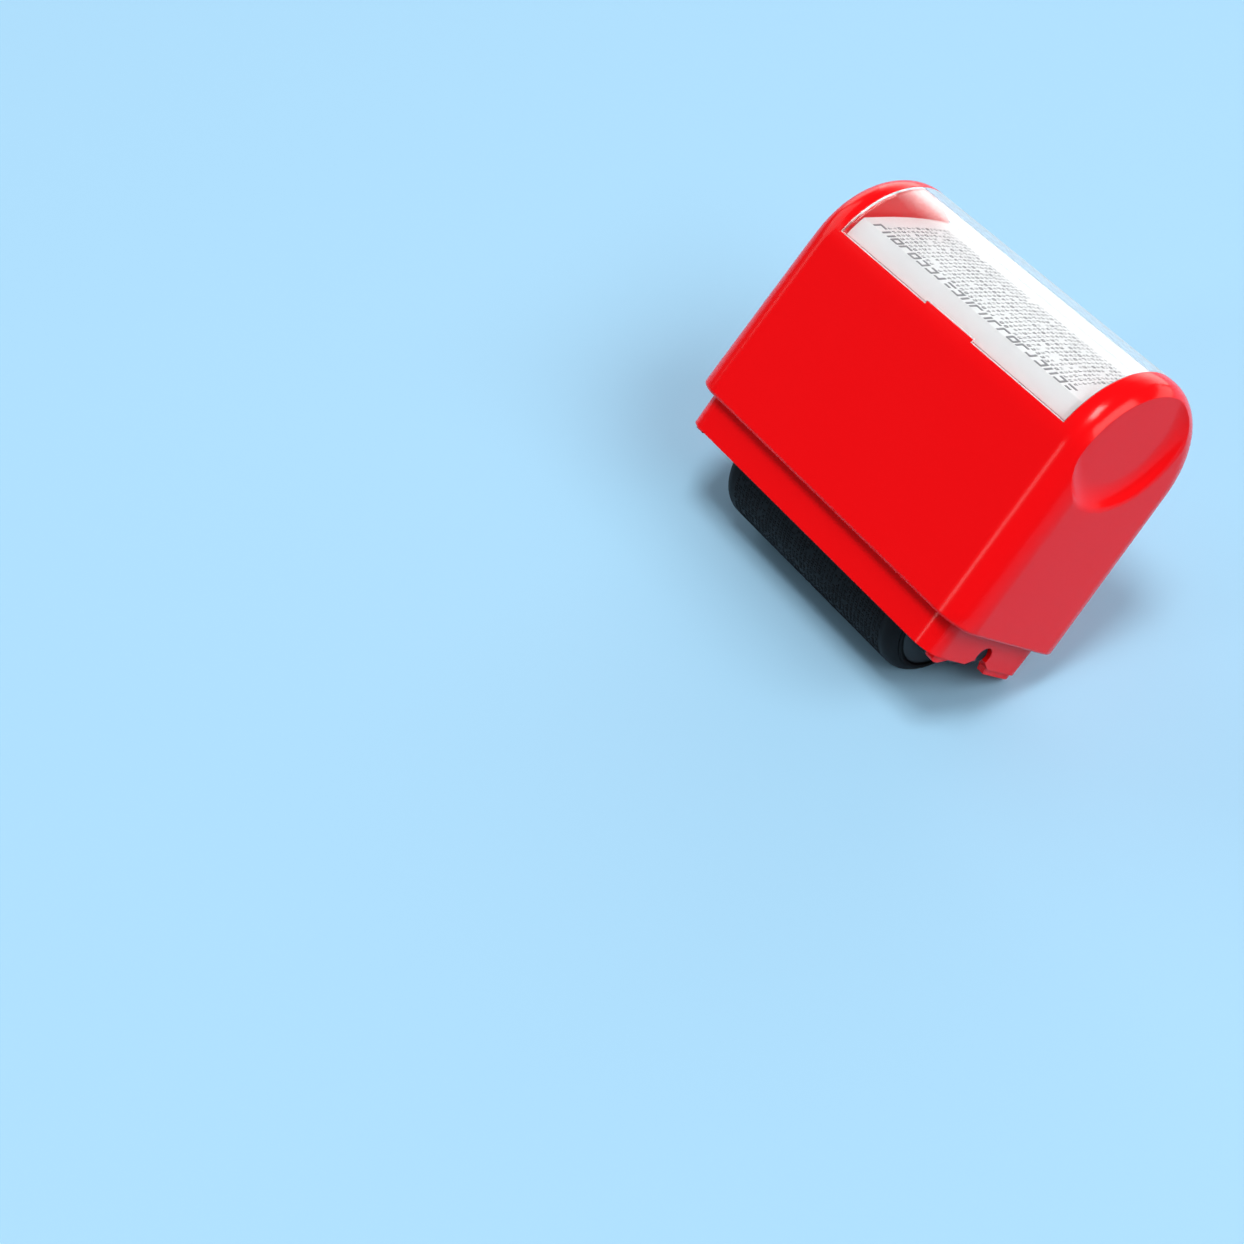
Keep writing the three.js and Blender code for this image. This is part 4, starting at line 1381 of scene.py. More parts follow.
class MarkField:
    """Lays rows of small plain strokes over a round surface with geometry nodes.

    Attributes:
        thin: A bar's width as a share of its mark.
        kinds: The kinds of mark, each a few bars by middle and size in a unit square.
    """

    thin: float = 0.22
    kinds: tuple[tuple[Bar, ...], ...] = (
        ((-0.35, 0.0, thin, 0.9), (0.0, 0.35, 0.7, thin)),
        ((0.0, 0.38, 0.8, thin), (0.0, -0.38, 0.8, thin), (0.3, 0.0, thin, 0.9)),
        ((-0.3, 0.0, thin, 0.9), (0.3, 0.0, thin, 0.9)),
        ((0.0, 0.3, 0.9, thin), (0.0, -0.25, 0.6, thin)),
        ((0.0, 0.36, 0.8, thin), (0.0, -0.36, 0.8, thin), (0.34, 0.0, thin, 0.8), (-0.34, 0.0, thin, 0.8)),
        ((0.1, 0.0, thin, 0.9), (-0.2, -0.3, 0.5, thin)),
    )

    def __init__(self, shop: Workshop) -> None:
        """Keeps the workshop and builds the tree."""
        self.shop = shop
        self.tree = bpy.data.node_groups.get("marks_round_a_curve") or self.make_tree()

    @staticmethod
    def stroke(bench: NodeBench, bars: Sequence[Bar]) -> bpy.types.NodeSocket:
        """One mark of a few bars in a unit square.

        Args:
            bench: The tree's bench.
            bars: Each bar's middle and size along the row and across it.

        Returns:
            The mark as one instance.
        """
        joined = bench.add("GeometryNodeJoinGeometry")
        for x, y, wide, deep in bars:
            cube = bench.add("GeometryNodeMeshCube", Size=(wide, deep, 1.0))
            place = (x, y, 0.0)
            moved = bench.add("GeometryNodeTransform", Geometry=cube.outputs["Mesh"], Translation=place)
            bench.tree.links.new(moved.outputs[0], joined.inputs[0])
        return bench.add("GeometryNodeGeometryToInstance", i0=joined.outputs[0]).outputs[0]

    def make_tree(self) -> bpy.types.NodeTree:
        """Builds the tree.

        Returns:
            The tree.
        """
        sizes = ("Radius", "Centre", "Length", "Arc Length", "Arc Middle", "Size", "Height", "Coverage")
        bench = GrowingTree("marks_round_a_curve", {"Float": sizes, "Int": ("Columns", "Rows", "Seed")})
        given, tree = bench.given, bench.tree
        grid = bench.add(
            "GeometryNodeMeshGrid",
            Size_X=given["Length"],
            Size_Y=given["Arc Length"],
            Vertices_X=given["Columns"],
            Vertices_Y=given["Rows"],
        )
        split = bench.add("ShaderNodeSeparateXYZ", i0=bench.add("GeometryNodeInputPosition").outputs[0])
        along = bench.value("ADD", split.outputs[1], given["Arc Middle"])
        turn = bench.value("DIVIDE", along, given["Radius"])
        y = bench.value("MULTIPLY", bench.value("SINE", turn), given["Radius"])
        z = bench.value("MULTIPLY_ADD", bench.value("COSINE", turn), given["Radius"], given["Centre"])
        place = bench.add("ShaderNodeCombineXYZ", X=split.outputs[0], Y=y, Z=z)
        spread = bench.add(
            "GeometryNodeSetPosition", Geometry=grid.outputs["Mesh"], Position=place.outputs[0]
        )
        # Read on the moved points, the position node gives their places on the curve
        up = bench.value("SUBTRACT", split.outputs[2], given["Centre"])
        lean = bench.value("ARCTAN2", split.outputs[1], up)
        face = bench.add("ShaderNodeCombineXYZ", X=bench.value("MULTIPLY", lean, -1.0))
        keep = bench.add("FunctionNodeRandomValue", {"data_type": "BOOLEAN"}, Seed=given["Seed"])
        tree.links.new(given["Coverage"], keep.inputs["Probability"])
        pick = bench.add("FunctionNodeRandomValue", {"data_type": "INT"}, Seed=given["Seed"])
        whole = [socket for socket in pick.inputs if socket.type == "INT"]
        least, most = (socket for socket in whole if socket.name in ("Min", "Max"))
        least.default_value = 0
        most.default_value = len(self.kinds) - 1
        marks = bench.add("GeometryNodeJoinGeometry")
        for bars in self.kinds:
            tree.links.new(self.stroke(bench, bars), marks.inputs[0])
        size = bench.add("ShaderNodeCombineXYZ", X=given["Size"], Y=given["Size"], Z=given["Height"])
        laid = bench.add(
            "GeometryNodeInstanceOnPoints",
            Points=spread.outputs[0],
            Selection=keep.outputs[3],
            Instance=marks.outputs[0],
            Pick_Instance=True,
            Instance_Index=pick.outputs[2],
            Rotation=face.outputs[0],
            Scale=size.outputs[0],
        )
        return bench.close(laid.outputs[0])

    def lay(
        self, row: MarkRow, name: str, finish: Finish, body: Body, lean: Matrix | None = None
    ) -> bpy.types.Object:
        """Makes one field of marks a plain piece.

        Args:
            row: The field's sizes.
            name: The piece's name.
            finish: What the marks are made of.
            body: The body that they ride on.
            lean: Turns the field in the stamp's frame, where it isn't straight.

        Returns:
            The finished object.
        """
        values = {key.replace("_", " ").title(): size for key, size in asdict(row).items()}
        obj = grown(self.tree, {**values, "Material": finish.material()}, name)
        obj.data.transform(self.shop.matrix @ lean if lean else self.shop.matrix)
        return self.shop.dress(obj, finish, body, [])


def grown(tree: bpy.types.NodeTree, values: dict[str, Any], name: str) -> bpy.types.Object:
    """A plain mesh object made by a geometry node tree.

    Args:
        tree: The tree.
        values: Its inputs by name.
        name: The object's name.

    Returns:
        The object, with no modifier left on it.
    """
    holder = bpy.data.objects.new(name + "_maker", bpy.data.meshes.new(name + "_maker"))
    bpy.context.scene.collection.objects.link(holder)
    step = holder.modifiers.new("maker", "NODES")
    step.node_group = tree
    for item in tree.interface.items_tree:
        if item.in_out == "INPUT" and item.name in values:
            step[item.identifier] = values[item.name]
    mesh = baked_mesh(holder)
    holder.modifiers.remove(step)
    empty = holder.data
    bpy.data.objects.remove(holder)
    bpy.data.meshes.remove(empty)
    obj = bpy.data.objects.new(name, mesh)
    bpy.context.scene.collection.objects.link(obj)
    return obj


@dataclass
class FrameBox:
    """The inner frame that carries both rollers, and its lid."""

    band_length: float = 60.0
    band_depth: float = 26.8
    band_round: float = 3.6
    band_low: float = 1.85
    band_rise: float = 6.0
    tower_length: float = 57.2
    tower_depth: float = 25.8
    tower_round: float = 3.0
    tower_height: float = 28.0
    tower_wall: float = 1.3
    plate: float = 1.8
    foot_drop: float = 2.9
    foot_inset: float = 0.4
    foot_round: float = 0.6
    front_foot: tuple[float, float, float] = (10.8, 9.2, 6.5)
    rear_foot: float = 3.8
    bellies: tuple[float, float] = (53.6, 50.0)
    mouth: float = 3.3
    seat: float = 1.65
    wrap: float = 0.5
    feet_top: float = 3.9
    well_low: float = -7.0
    rail_span: tuple[float, float] = (25.4, 27.95)
    rail_width: tuple[float, float] = (4.9, 6.1)
    rail_height: tuple[float, float] = (12.5, 26.5)
    lid_half: Point2 = (28.1, 12.4)
    lid_round: float = 2.5
    skirt_half: Point2 = (27.0, 11.3)
    skirt_round: float = 1.7
    skirt_wall: float = 1.0
    skirt_bore_round: float = 1.2
    skirt_drop: float = 1.3
    peg_drop: float = 0.7
    root: float = 0.5
    end_reach: float = 40.0
    belly_reach: float = 20.0
    bore_reach: float = 5.0

    def end_outline(self) -> list[Point2]:
        """The frame seen from its end, with its feet and the axle's slot.

        Returns:
            The outline in Y and Z.
        """
        half = self.band_depth / 2
        bottom = self.foot_round - self.foot_drop
        out, flat, inside = self.front_foot
        points = [(half, self.tower_height), (-half, self.tower_height)]
        points += [(-half, -self.band_low), (-out, -self.band_low)]
        points += arc((self.foot_round - out, bottom), self.foot_round, math.pi, 1.5 * math.pi, steps=8)
        points += [(-flat, -self.foot_drop), (-inside, -self.band_low), (-self.mouth, -self.band_low)]
        points += arc((0.0, 0.0), self.seat, math.pi + self.wrap, -self.wrap, steps=32)
        points += [(self.mouth, -self.band_low), (self.rear_foot, -self.foot_drop)]
        rear = (half - self.foot_round, bottom)
        return points + arc(rear, self.foot_round, 1.5 * math.pi, FULL_TURN, steps=8)

    def belly(self, length: float, low: float, high: float) -> Solid:
        """What is cut away below the front or back wall, between the feet.

        Args:
            length: From foot to foot.
            low: Where it starts along Y.
            high: Where it ends.

        Returns:
            The cutting solid.
        """
        half, deep = length / 2, -self.foot_drop - CUT_DEPTH
        out = half + self.foot_drop - self.band_low
        outline = [(-out, deep), (out, deep), (out, -self.foot_drop), (half, -self.band_low)]
        outline += [(-half, -self.band_low), (-out, -self.foot_drop)]
        return Solid.prism(outline, Along.Y, low, high)

    def rails(self, side: int) -> list[Solid]:
        """The two rails of one end that the carrier's arm slides between.

        Args:
            side: 1 for the right end, -1 for the left.

        Returns:
            The front and the back rail.
        """
        near, far = sorted(side * x for x in self.rail_span)
        inner, outer = self.rail_width
        low, high = self.rail_height
        front = Solid.box((near, -outer, low), (far, -inner, high))
        return [front, Solid.box((near, inner, low), (far, outer, high))]

    def box(self) -> Solid:
        """The finished frame.

        Returns:
            The frame.
        """
        plan = rounded_rectangle(self.band_length / 2, self.band_depth / 2, self.band_round, steps=16)
        inset = self.band_length / 2 - self.foot_inset
        feet = rounded_rectangle(inset, self.band_depth / 2, self.band_round, steps=16)
        tower = rounded_rectangle(self.tower_length / 2, self.tower_depth / 2, self.tower_round, steps=14)
        well_x, well_y = self.tower_length / 2 - self.tower_wall, self.tower_depth / 2 - self.tower_wall
        inner_round = self.tower_round - self.tower_wall
        walls = Solid.prism(feet, Along.Z, -self.foot_drop, self.feet_top)
        walls.plus(Solid.prism(plan, Along.Z, -self.band_low, self.band_rise))
        walls.plus(Solid.prism(tower, Along.Z, self.feet_top, self.tower_height))
        walls.common(Solid.prism(self.end_outline(), Along.X, -self.end_reach, self.end_reach))
        well = rounded_rectangle(well_x, well_y, inner_round, steps=10)
        pocket = rounded_rectangle(self.band_length / 2 - self.plate, well_y, inner_round, steps=10)
        walls.less(
            Solid.prism(well, Along.Z, self.well_low, self.tower_height + CUT_DEPTH),
            Solid.prism(pocket, Along.Z, self.well_low, self.band_rise - self.plate),
            self.belly(self.bellies[0], -self.belly_reach, 0.0),
            self.belly(self.bellies[1], 0.0, self.belly_reach),
        )
        return walls.plus(*self.rails(-1), *self.rails(1))

    def lid(self) -> Solid:
        """The lid with its skirt, the ink port and the springs' pegs.

        Returns:
            The lid.
        """
        half_x, half_y = self.skirt_half
        bore_x, bore_y = half_x - self.skirt_wall, half_y - self.skirt_wall
        root = LID_LOW + self.root
        plate = rounded_rectangle(*self.lid_half, self.lid_round, steps=12)
        lid = Solid.prism(plate, Along.Z, LID_LOW, LID_HIGH)
        bore = rounded_rectangle(bore_x, bore_y, self.skirt_bore_round, steps=8)
        skirt = rounded_rectangle(half_x, half_y, self.skirt_round, steps=8)
        rim = Solid.prism(skirt, Along.Z, LID_LOW - self.skirt_drop, root)
        lid.plus(rim.less(Solid.prism(bore, Along.Z, LID_LOW - self.bore_reach, LID_LOW)))
        for x in (-SPRING_X, SPRING_X):
            peg = disc((x, 0.0), PEG_RADIUS, steps=24)
            lid.plus(Solid.prism(peg, Along.Z, LID_LOW - self.peg_drop, root))
        return lid.less(Solid.prism(port_outline(), Along.Z, LID_LOW - CUT_DEPTH, LID_HIGH + CUT_DEPTH))

    def build(self, shop: Workshop) -> None:
        """Makes the frame and its lid.

        Args:
            shop: Where the pieces are finished.
        """
        shop.deliver(self.box(), "frame_box", RED_GLOSS, Body.CARTRIDGE, ["inner_frame"])
        shop.deliver(self.lid(), "frame_lid", BLACK_SATIN, Body.CARTRIDGE, ["cartridge_lid"])


@dataclass
class PrintRoller:
    """The print roller: sleeve with its relief, core, hubs, axle and clips."""

    half: float = 21.4
    rounding: float = 2.4
    sleeve_wall: float = 1.6
    relief: float = 0.07
    shoulder: float = 0.5
    core_bore: float = 4.214
    core_half: float = 21.2
    core_edge: float = 0.3
    hub_radius: float = 5.6
    hub_collar: float = 4.0
    hub_tip: float = 15.6
    hub_start: float = 21.6
    hub_flange: float = 24.0
    hub_end: float = 26.6
    axle: float = 2.528
    axle_seat: float = 27.9
    axle_tip: float = 29.5
    journal: float = 1.5
    groove: tuple[float, float] = (26.6, 27.35)
    groove_depth: float = 0.4
    bevel: float = 0.15
    clip_radius: float = 4.0
    clip_bite: float = 0.25
    clip_mouth: float = 0.6
    clip_span: tuple[float, float] = (26.75, 27.2)
    ease: float = 0.2
    chamfer: float = 0.3
    edge: float = 0.4
    edge_mid: float = 0.12

    def sleeve(self) -> Solid:
        """The sleeve under its relief, with full round ends.

        Returns:
            The sleeve.
        """
        low = ROLLER_RADIUS - self.relief
        bore = ROLLER_RADIUS - self.sleeve_wall
        edge = self.rounding
        centre = ROLLER_RADIUS - edge
        points = [(bore, -self.half)]
        points += arc((centre, edge - self.half), edge, -0.5 * math.pi, 0.0, steps=14)
        points += [(low, edge - self.half + self.shoulder), (low, self.half - edge - self.shoulder)]
        points += arc((centre, self.half - edge), edge, 0.0, 0.5 * math.pi, steps=14)
        points += [(bore, self.half)]
        return Solid.turned(points, sides=160)

    def hub(self, side: int) -> Solid:
        """An end hub: a flange outside the drum, a collar and a spigot in the core.

        Args:
            side: 1 for the right end, -1 for the left.

        Returns:
            The hub.
        """
        start, flange, end = self.hub_start, self.hub_flange, self.hub_end
        tip, ease = self.hub_tip, self.ease
        bore, spigot, radius = self.axle + ease, self.core_bore - ease, self.hub_radius
        points = [(bore, tip), (spigot - self.chamfer, tip), (spigot, tip + self.chamfer), (spigot, start)]
        points += [(radius - ease, start), (radius, start + ease), (radius, flange - self.edge)]
        points += [(radius - self.edge_mid, flange - self.edge_mid), (radius - self.edge, flange)]
        points += [(self.hub_collar, flange), (self.hub_collar, end - ease), (self.hub_collar - ease, end)]
        points.append((bore, end))
        return Solid.turned([(r, side * x) for r, x in points], sides=72)

    def shaft(self) -> Solid:
        """The stout axle with its clip grooves and slim journals.

        Returns:
            The axle.
        """
        near, far = self.groove
        groove, seat, tip = self.axle - self.groove_depth, self.axle_seat, self.axle_tip
        half = [(self.axle, near), (groove, near), (groove, far), (self.axle, far)]
        half += [(self.axle, seat - self.bevel), (self.axle - self.bevel, seat), (self.journal, seat)]
        half += [(self.journal, tip - self.chamfer), (self.journal - self.chamfer, tip), (0.0, tip)]
        return Solid.turned([(r, -x) for r, x in reversed(half)] + half, sides=48)

    def clip(self, side: int) -> Solid:
        """An open ring snapped into the axle's groove.

        Args:
            side: 1 for the right end, -1 for the left.

        Returns:
            The ring.
        """
        gap = math.pi / 2 - self.clip_mouth
        outline = arc((0.0, 0.0), self.clip_radius, -gap, math.pi + gap, steps=48)
        outline += arc((0.0, 0.0), self.axle - self.clip_bite, math.pi + gap, -gap, steps=48)
        low, high = sorted(side * x for x in self.clip_span)
        return Solid.prism(outline, Along.X, low, high)

    def relief_row(self) -> MarkRow:
        """The field of raised bars that covers the sleeve.

        Returns:
            The field's sizes.
        """
        low, rows = ROLLER_RADIUS - self.relief, 70
        return MarkRow(
            radius=low,
            centre=0.0,
            length=35.8,
            arc_length=FULL_TURN * low * (rows - 1) / rows,
            arc_middle=0.0,
            columns=41,
            rows=rows,
            size=0.66,
            height=0.13,
            coverage=0.97,
            seed=5,
        )

    def build(self, shop: Workshop) -> None:
        """Makes the print roller's pieces.

        Args:
            shop: Where the pieces are finished.
        """
        body = Body.PRINT_ROLLER
        shop.deliver(self.sleeve(), "print_sleeve_rubber", PRINT_RUBBER, body, ["print_sleeve"], sharp=40.0)
        outer = ROLLER_RADIUS - self.sleeve_wall - self.ease
        core = ring_profile(self.core_bore, outer, -self.core_half, self.core_half, self.core_edge)
        shop.deliver(Solid.turned(core, sides=72), "print_core_tube", BLACK_SATIN, body, ["print_core"])
        shop.deliver(self.shaft(), "print_axle_shaft", DARK_STEEL, body, ["print_axle"])
        for side, word in SIDES:
            shop.deliver(self.hub(side), f"hub_{word}", BLACK_SATIN, body, [f"print_hub_{word}"])
            shop.deliver(self.clip(side), f"clip_{word}", DARK_STEEL, body, [f"axle_clip_{word}"])
        MarkField(shop).lay(self.relief_row(), "print_relief", PRINT_RUBBER, body)


@dataclass
class InkRoller:
    """The felt ink roller on its tube, with caps and a thin axle."""

    radius: float = 6.2
    half: float = 21.0
    felt: float = 3.0
    felt_edge: float = 0.5
    tube_wall: float = 1.5
    tube_edge: float = 0.12
    axle: float = 1.0
    axle_tip: float = 27.0
    cap_radius: float = 5.4
    cap_start: float = 21.2
    cap_face: float = 22.2
    cap_end: float = 25.1
    collar: float = 2.2
    ease: float = 0.2
    chamfer: float = 0.3
    small_chamfer: float = 0.1
    collar_chamfer: float = 0.15

    def cap(self, side: int) -> Solid:
        """A cap that closes one end, with a collar out to the carrier's arm.

        Args:
            side: 1 for the right end, -1 for the left.

        Returns:
            The cap.
        """
        bore, radius, collar = self.axle + self.ease, self.cap_radius, self.collar
        start, face, end = self.cap_start, self.cap_face, self.cap_end
        points = [(bore, start), (radius - self.small_chamfer, start), (radius, start + self.small_chamfer)]
        points += [(radius, face - self.chamfer), (radius - self.chamfer, face), (collar, face)]
        points += [(collar, end - self.collar_chamfer), (collar - self.collar_chamfer, end), (bore, end)]
        return Solid.turned([(r, side * x) for r, x in points], sides=64, height=INK_AXIS)

    def build(self, shop: Workshop) -> None:
        """Makes the ink roller's pieces.

        Args:
            shop: Where the pieces are finished.
        """
        body = Body.INK_ROLLER
        inner = self.radius - self.felt
        felt = ring_profile(inner, self.radius, -self.half, self.half, self.felt_edge, steps=5)
        outer = inner - self.ease
        tube = ring_profile(outer - self.tube_wall, outer, -self.half, self.half, self.tube_edge)
        tip, slim = self.axle_tip, self.axle - self.chamfer
        rod = [(0.0, -tip), (slim, -tip), (self.axle, self.chamfer - tip)]
        rod += [(self.axle, tip - self.chamfer), (slim, tip), (0.0, tip)]
        for profile, sides, name, finish, node in (
            (felt, 96, "felt_roll", INK_FELT, "ink_felt"),
            (tube, 48, "ink_roller_tube", BLACK_SATIN, "ink_tube"),
            (rod, 40, "ink_roller_rod", BRIGHT_STEEL, "ink_axle"),
        ):
            shop.deliver(Solid.turned(profile, sides, INK_AXIS), name, finish, body, [node])
        for side, word in SIDES:
            shop.deliver(self.cap(side), f"felt_cap_{word}", BLACK_SATIN, body, [f"ink_cap_{word}"])


@dataclass
class Carrier:
    """The sprung carrier that presses the ink roller on the print roller."""

    arm_out: float = 27.0
    arm_in: float = 25.4
    half_width: float = 4.6
    low: float = 24.0
    high: float = 25.1
    arm_drop: float = 3.0
    arm_round: float = 2.5
    axle_hole: float = 1.15
    peg_root: float = 0.5
    peg_rise: float = 0.7
    spring_radius: float = 1.75
    spring_ease: float = 0.15
    spring_sharp: float = 50.0
    wire: float = 0.4
    turns: float = 2.5

    def arm(self, low: float, high: float) -> Solid:
        """One arm with the hole that the ink roller's rod turns in.

        Args:
            low: Where it starts along X.
            high: Where it ends.

        Returns:
            The arm.
        """
        rounding = self.arm_round
        bottom, side = INK_AXIS - self.arm_drop + rounding, self.half_width - rounding
        points = [(self.half_width, self.high), (-self.half_width, self.high)]
        points += arc((-side, bottom), rounding, math.pi, 1.5 * math.pi, steps=10)
        points += arc((side, bottom), rounding, 1.5 * math.pi, FULL_TURN, steps=10)
        round_hole = disc((0.0, INK_AXIS), self.axle_hole, steps=40)
        hole = Solid.prism(round_hole, Along.X, low - CUT_DEPTH, high + CUT_DEPTH)
        return Solid.prism(points, Along.X, low, high).less(hole)

    def bridge(self) -> Solid:
        """The bridge over the ink roller with its arms, port and pegs.

        Returns:
            The bridge.
        """
        out, deep = self.arm_out, self.half_width
        body = Solid.box((-out, -deep, self.low), (out, deep, self.high))
        body.less(Solid.prism(port_outline(), Along.Z, self.low - CUT_DEPTH, self.high + CUT_DEPTH))
        body.plus(self.arm(-self.arm_out, -self.arm_in), self.arm(self.arm_in, self.arm_out))
        for x in (-SPRING_X, SPRING_X):
            peg = disc((x, 0.0), PEG_RADIUS, steps=24)
            body.plus(Solid.prism(peg, Along.Z, self.high - self.peg_root, self.high + self.peg_rise))
        return body

    @staticmethod
    def spring_tree() -> bpy.types.NodeTree:
        """The tree that winds a spring.

        Returns:
            The tree.
        """
        sizes = ("Turns", "Radius", "Height", "Wire Radius")
        bench = GrowingTree("wound_spring", {"Float": sizes, "Vector": ("Place",)})
        given = bench.given
        coil = bench.add(
            "GeometryNodeCurveSpiral",
            Resolution=40,
            Rotations=given["Turns"],
            Start_Radius=given["Radius"],
            End_Radius=given["Radius"],
            Height=given["Height"],
        )
        wire = bench.add("GeometryNodeCurvePrimitiveCircle", Resolution=12, Radius=given["Wire Radius"])
        swept = bench.add("GeometryNodeCurveToMesh", i0=coil.outputs[0], i1=wire.outputs[0], Fill_Caps=True)
        moved = bench.add("GeometryNodeTransform", Geometry=swept.outputs[0], Translation=given["Place"])
        return bench.close(moved.outputs[0])

    def build(self, shop: Workshop) -> None:
        """Makes the carrier and its springs.

        Args:
            shop: Where the pieces are finished.
        """
        shop.deliver(self.bridge(), "carrier_bridge", BLACK_SATIN, Body.CARRIER, ["ink_carrier"])
        tree = self.spring_tree()
        low = self.high + self.spring_ease + self.wire / 2
        high = LID_LOW - self.spring_ease - self.wire / 2
        for side, word in SIDES:
            values = {
                "Turns": self.turns,
                "Radius": self.spring_radius,
                "Height": high - low,
                "Wire Radius": self.wire / 2,
                "Place": (side * SPRING_X, 0.0, low),
                "Material": BRIGHT_STEEL.material(),
            }
            obj = grown(tree, values, f"spring_{word}")
            obj.data.transform(shop.matrix)
            shop.smooth(obj, self.spring_sharp)
            shop.dress(obj, BRIGHT_STEEL, Body.CARTRIDGE, [f"ink_spring_{word}"])


@dataclass(frozen=True)
class Lamp:
    """One soft light that points at the stamp.

    Attributes:
        name: The light's name.
        bearing: Where it hangs, in degrees round from the stamp's right.
        lift: Its height in degrees.
        far: How far off it hangs, before the studio's reach.
        size: Its width and height, before the studio's reach.
        power: Its power in watts, before the studio's reach.
    """

    name: str
    bearing: float
    lift: float
    far: float
    size: Point2
    power: float

    def hang(self, target: Vector, reach: float, tint: Colour) -> None:
        """Hangs the light.

        Args:
            target: What it points at.
            reach: How many times further off and larger it is, at the same level.
            tint: Its colour.
        """
        data = bpy.data.lights.new(self.name, "AREA")
        data.shape = "RECTANGLE"
        data.size, data.size_y = self.size[0] * reach, self.size[1] * reach
        data.energy = self.power * reach**2
        data.color = tint
        obj = bpy.data.objects.new(self.name, data)
        turn, lift = math.radians(self.bearing), math.radians(self.lift)
        flat = math.cos(lift)
        way = Vector((math.cos(turn) * flat, math.sin(turn) * flat, math.sin(lift)))
        obj.location = target + self.far * reach * way
        obj.visible_camera = False
        obj.rotation_euler = (-way).to_track_quat("-Z", "Y").to_euler()
        bpy.context.scene.collection.objects.link(obj)


LAMPS = (
    Lamp("overhead", -62.0, 81.0, 0.85, (0.21, 0.28), 4.2),
    Lamp("right_fill", 14.0, 46.0, 1.0, (0.95, 0.42), 7.0),
    Lamp("front_fill", -165.0, 28.0, 1.1, (0.8, 0.6), 2.6),
    Lamp("front_strip", -97.0, 23.0, 1.0, (0.16, 0.5), 1.1),
    Lamp("back_wall", 123.0, 9.5, 1.2, (1.1, 0.4), 4.5),
    Lamp("back_wall_low", 123.0, 22.0, 1.2, (1.1, 0.13), 0.85),
    Lamp("back_wall_mid", 123.0, 28.0, 1.2, (1.1, 0.13), 0.5),
    Lamp("back_wall_top", 123.0, 34.0, 1.2, (1.1, 0.13), 0.2),
    Lamp("back_left", 158.0, 9.5, 1.2, (0.5, 0.4), 1.2),
    Lamp("back_right", 78.0, 9.5, 1.2, (0.7, 0.4), 1.8),
)


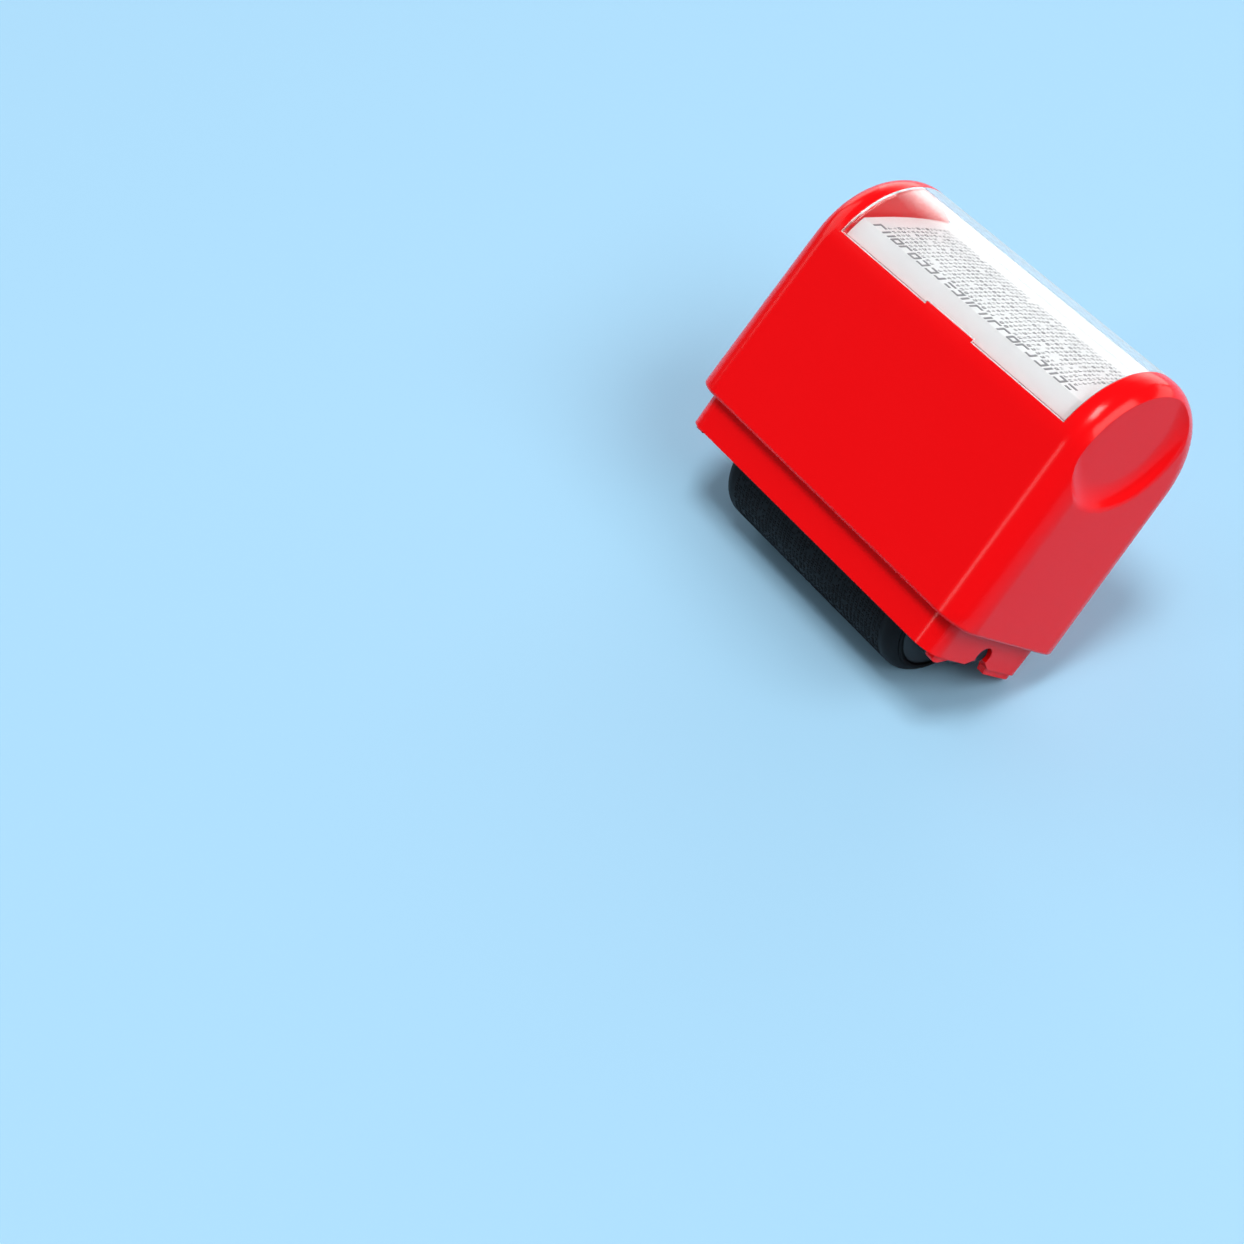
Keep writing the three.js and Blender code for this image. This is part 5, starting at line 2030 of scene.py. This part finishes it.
@dataclass
class Studio:
    """The floor, the camera and the soft lights, in metres."""

    focal_pixels: float = 2354.2465
    image_pixels: float = 1244.0
    sensor: float = 36.0
    clip: tuple[float, float] = (0.01, 20.0)
    eye: Point3 = (0.191604, -0.1945239, 0.25915364)
    right: Point3 = (0.5532693, 0.83209146, 0.03894639)
    down: Point3 = (0.6134561, -0.37537457, -0.6948133)
    ahead: Point3 = (-0.5635288, 0.40831076, -0.71813483)
    target: Point3 = (0.0, 0.0, 0.025)
    reach: float = 2.5
    tint: Colour = (1.0, 0.99, 0.97)
    floor_half: float = 1.1
    floor_colour: Colour = (0.32, 0.56, 0.76)
    floor_roughness: float = 0.8
    floor_specular: float = 0.2
    far_colour: Colour = (0.434, 0.745, 0.991)
    sky_colour: Colour = (0.84, 0.9, 0.95)
    sky_strength: float = 0.15

    def camera(self) -> None:
        """Places the camera."""
        data = bpy.data.cameras.new("camera")
        data.sensor_width = self.sensor
        data.lens = self.focal_pixels / self.image_pixels * self.sensor
        data.clip_start, data.clip_end = self.clip
        camera = bpy.data.objects.new("camera", data)
        axes = (Vector(self.right), -Vector(self.down), -Vector(self.ahead))
        camera.matrix_world = Matrix.Translation(self.eye) @ Matrix(axes).transposed().to_4x4()
        bpy.context.scene.collection.objects.link(camera)
        bpy.context.scene.camera = camera

    def floor(self) -> None:
        """Lays the pale floor."""
        half = self.floor_half
        mesh = bpy.data.meshes.new("floor")
        outline = [(-half, -half, 0.0), (half, -half, 0.0), (half, half, 0.0), (-half, half, 0.0)]
        mesh.from_pydata(outline, [], [(0, 1, 2, 3)])
        obj = bpy.data.objects.new("floor", mesh)
        bpy.context.scene.collection.objects.link(obj)
        material = bpy.data.materials.new("pale_floor")
        material.use_nodes = True
        shader = material.node_tree.nodes["Principled BSDF"]
        shader.inputs["Base Color"].default_value = (*self.floor_colour, 1.0)
        shader.inputs["Roughness"].default_value = self.floor_roughness
        shader.inputs["Specular IOR Level"].default_value = self.floor_specular
        mesh.materials.append(material)

    def sky(self) -> None:
        """Makes the soft sky, which the camera sees in the floor's far colour."""
        world = bpy.data.worlds.new("studio")
        world.use_nodes = True
        bpy.context.scene.world = world
        bench = NodeBench(world.node_tree)
        sky = world.node_tree.nodes["Background"]
        sky.inputs["Color"].default_value = (*self.sky_colour, 1.0)
        sky.inputs["Strength"].default_value = self.sky_strength
        far = bench.add("ShaderNodeBackground", Color=(*self.far_colour, 1.0))
        seen = bench.add("ShaderNodeLightPath").outputs["Is Camera Ray"]
        mix = bench.add("ShaderNodeMixShader", i0=seen, i1=sky.outputs[0], i2=far.outputs[0])
        world.node_tree.links.new(mix.outputs[0], world.node_tree.nodes["World Output"].inputs["Surface"])

    def build(self) -> None:
        """Makes the studio and sets the plain view."""
        self.camera()
        self.floor()
        bpy.context.scene.view_settings.view_transform = "Standard"
        self.sky()
        for lamp in LAMPS:
            lamp.hang(Vector(self.target), self.reach, self.tint)


def corners(box: Sequence[Vector]) -> list[list[float]]:
    """A box's two corners as plain lists."""
    return [[float(v) for v in corner] for corner in box]


def main() -> None:
    """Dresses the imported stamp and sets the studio."""
    logging.basicConfig(level=logging.INFO, format="%(name)s: %(message)s")
    for obj in list(bpy.data.objects):
        bpy.data.objects.remove(obj)
    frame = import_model()
    shop = Workshop(StampPose.from_joints(frame["joints"]))
    for part in (Cover(), FrameBox(), PrintRoller(), InkRoller(), Carrier()):
        LOG.info("building %s", type(part).__name__)
        part.build(shop)
    Studio().build()
    LOG.info("%d pieces", len(shop.made))


if __name__ == "__main__":
    main()
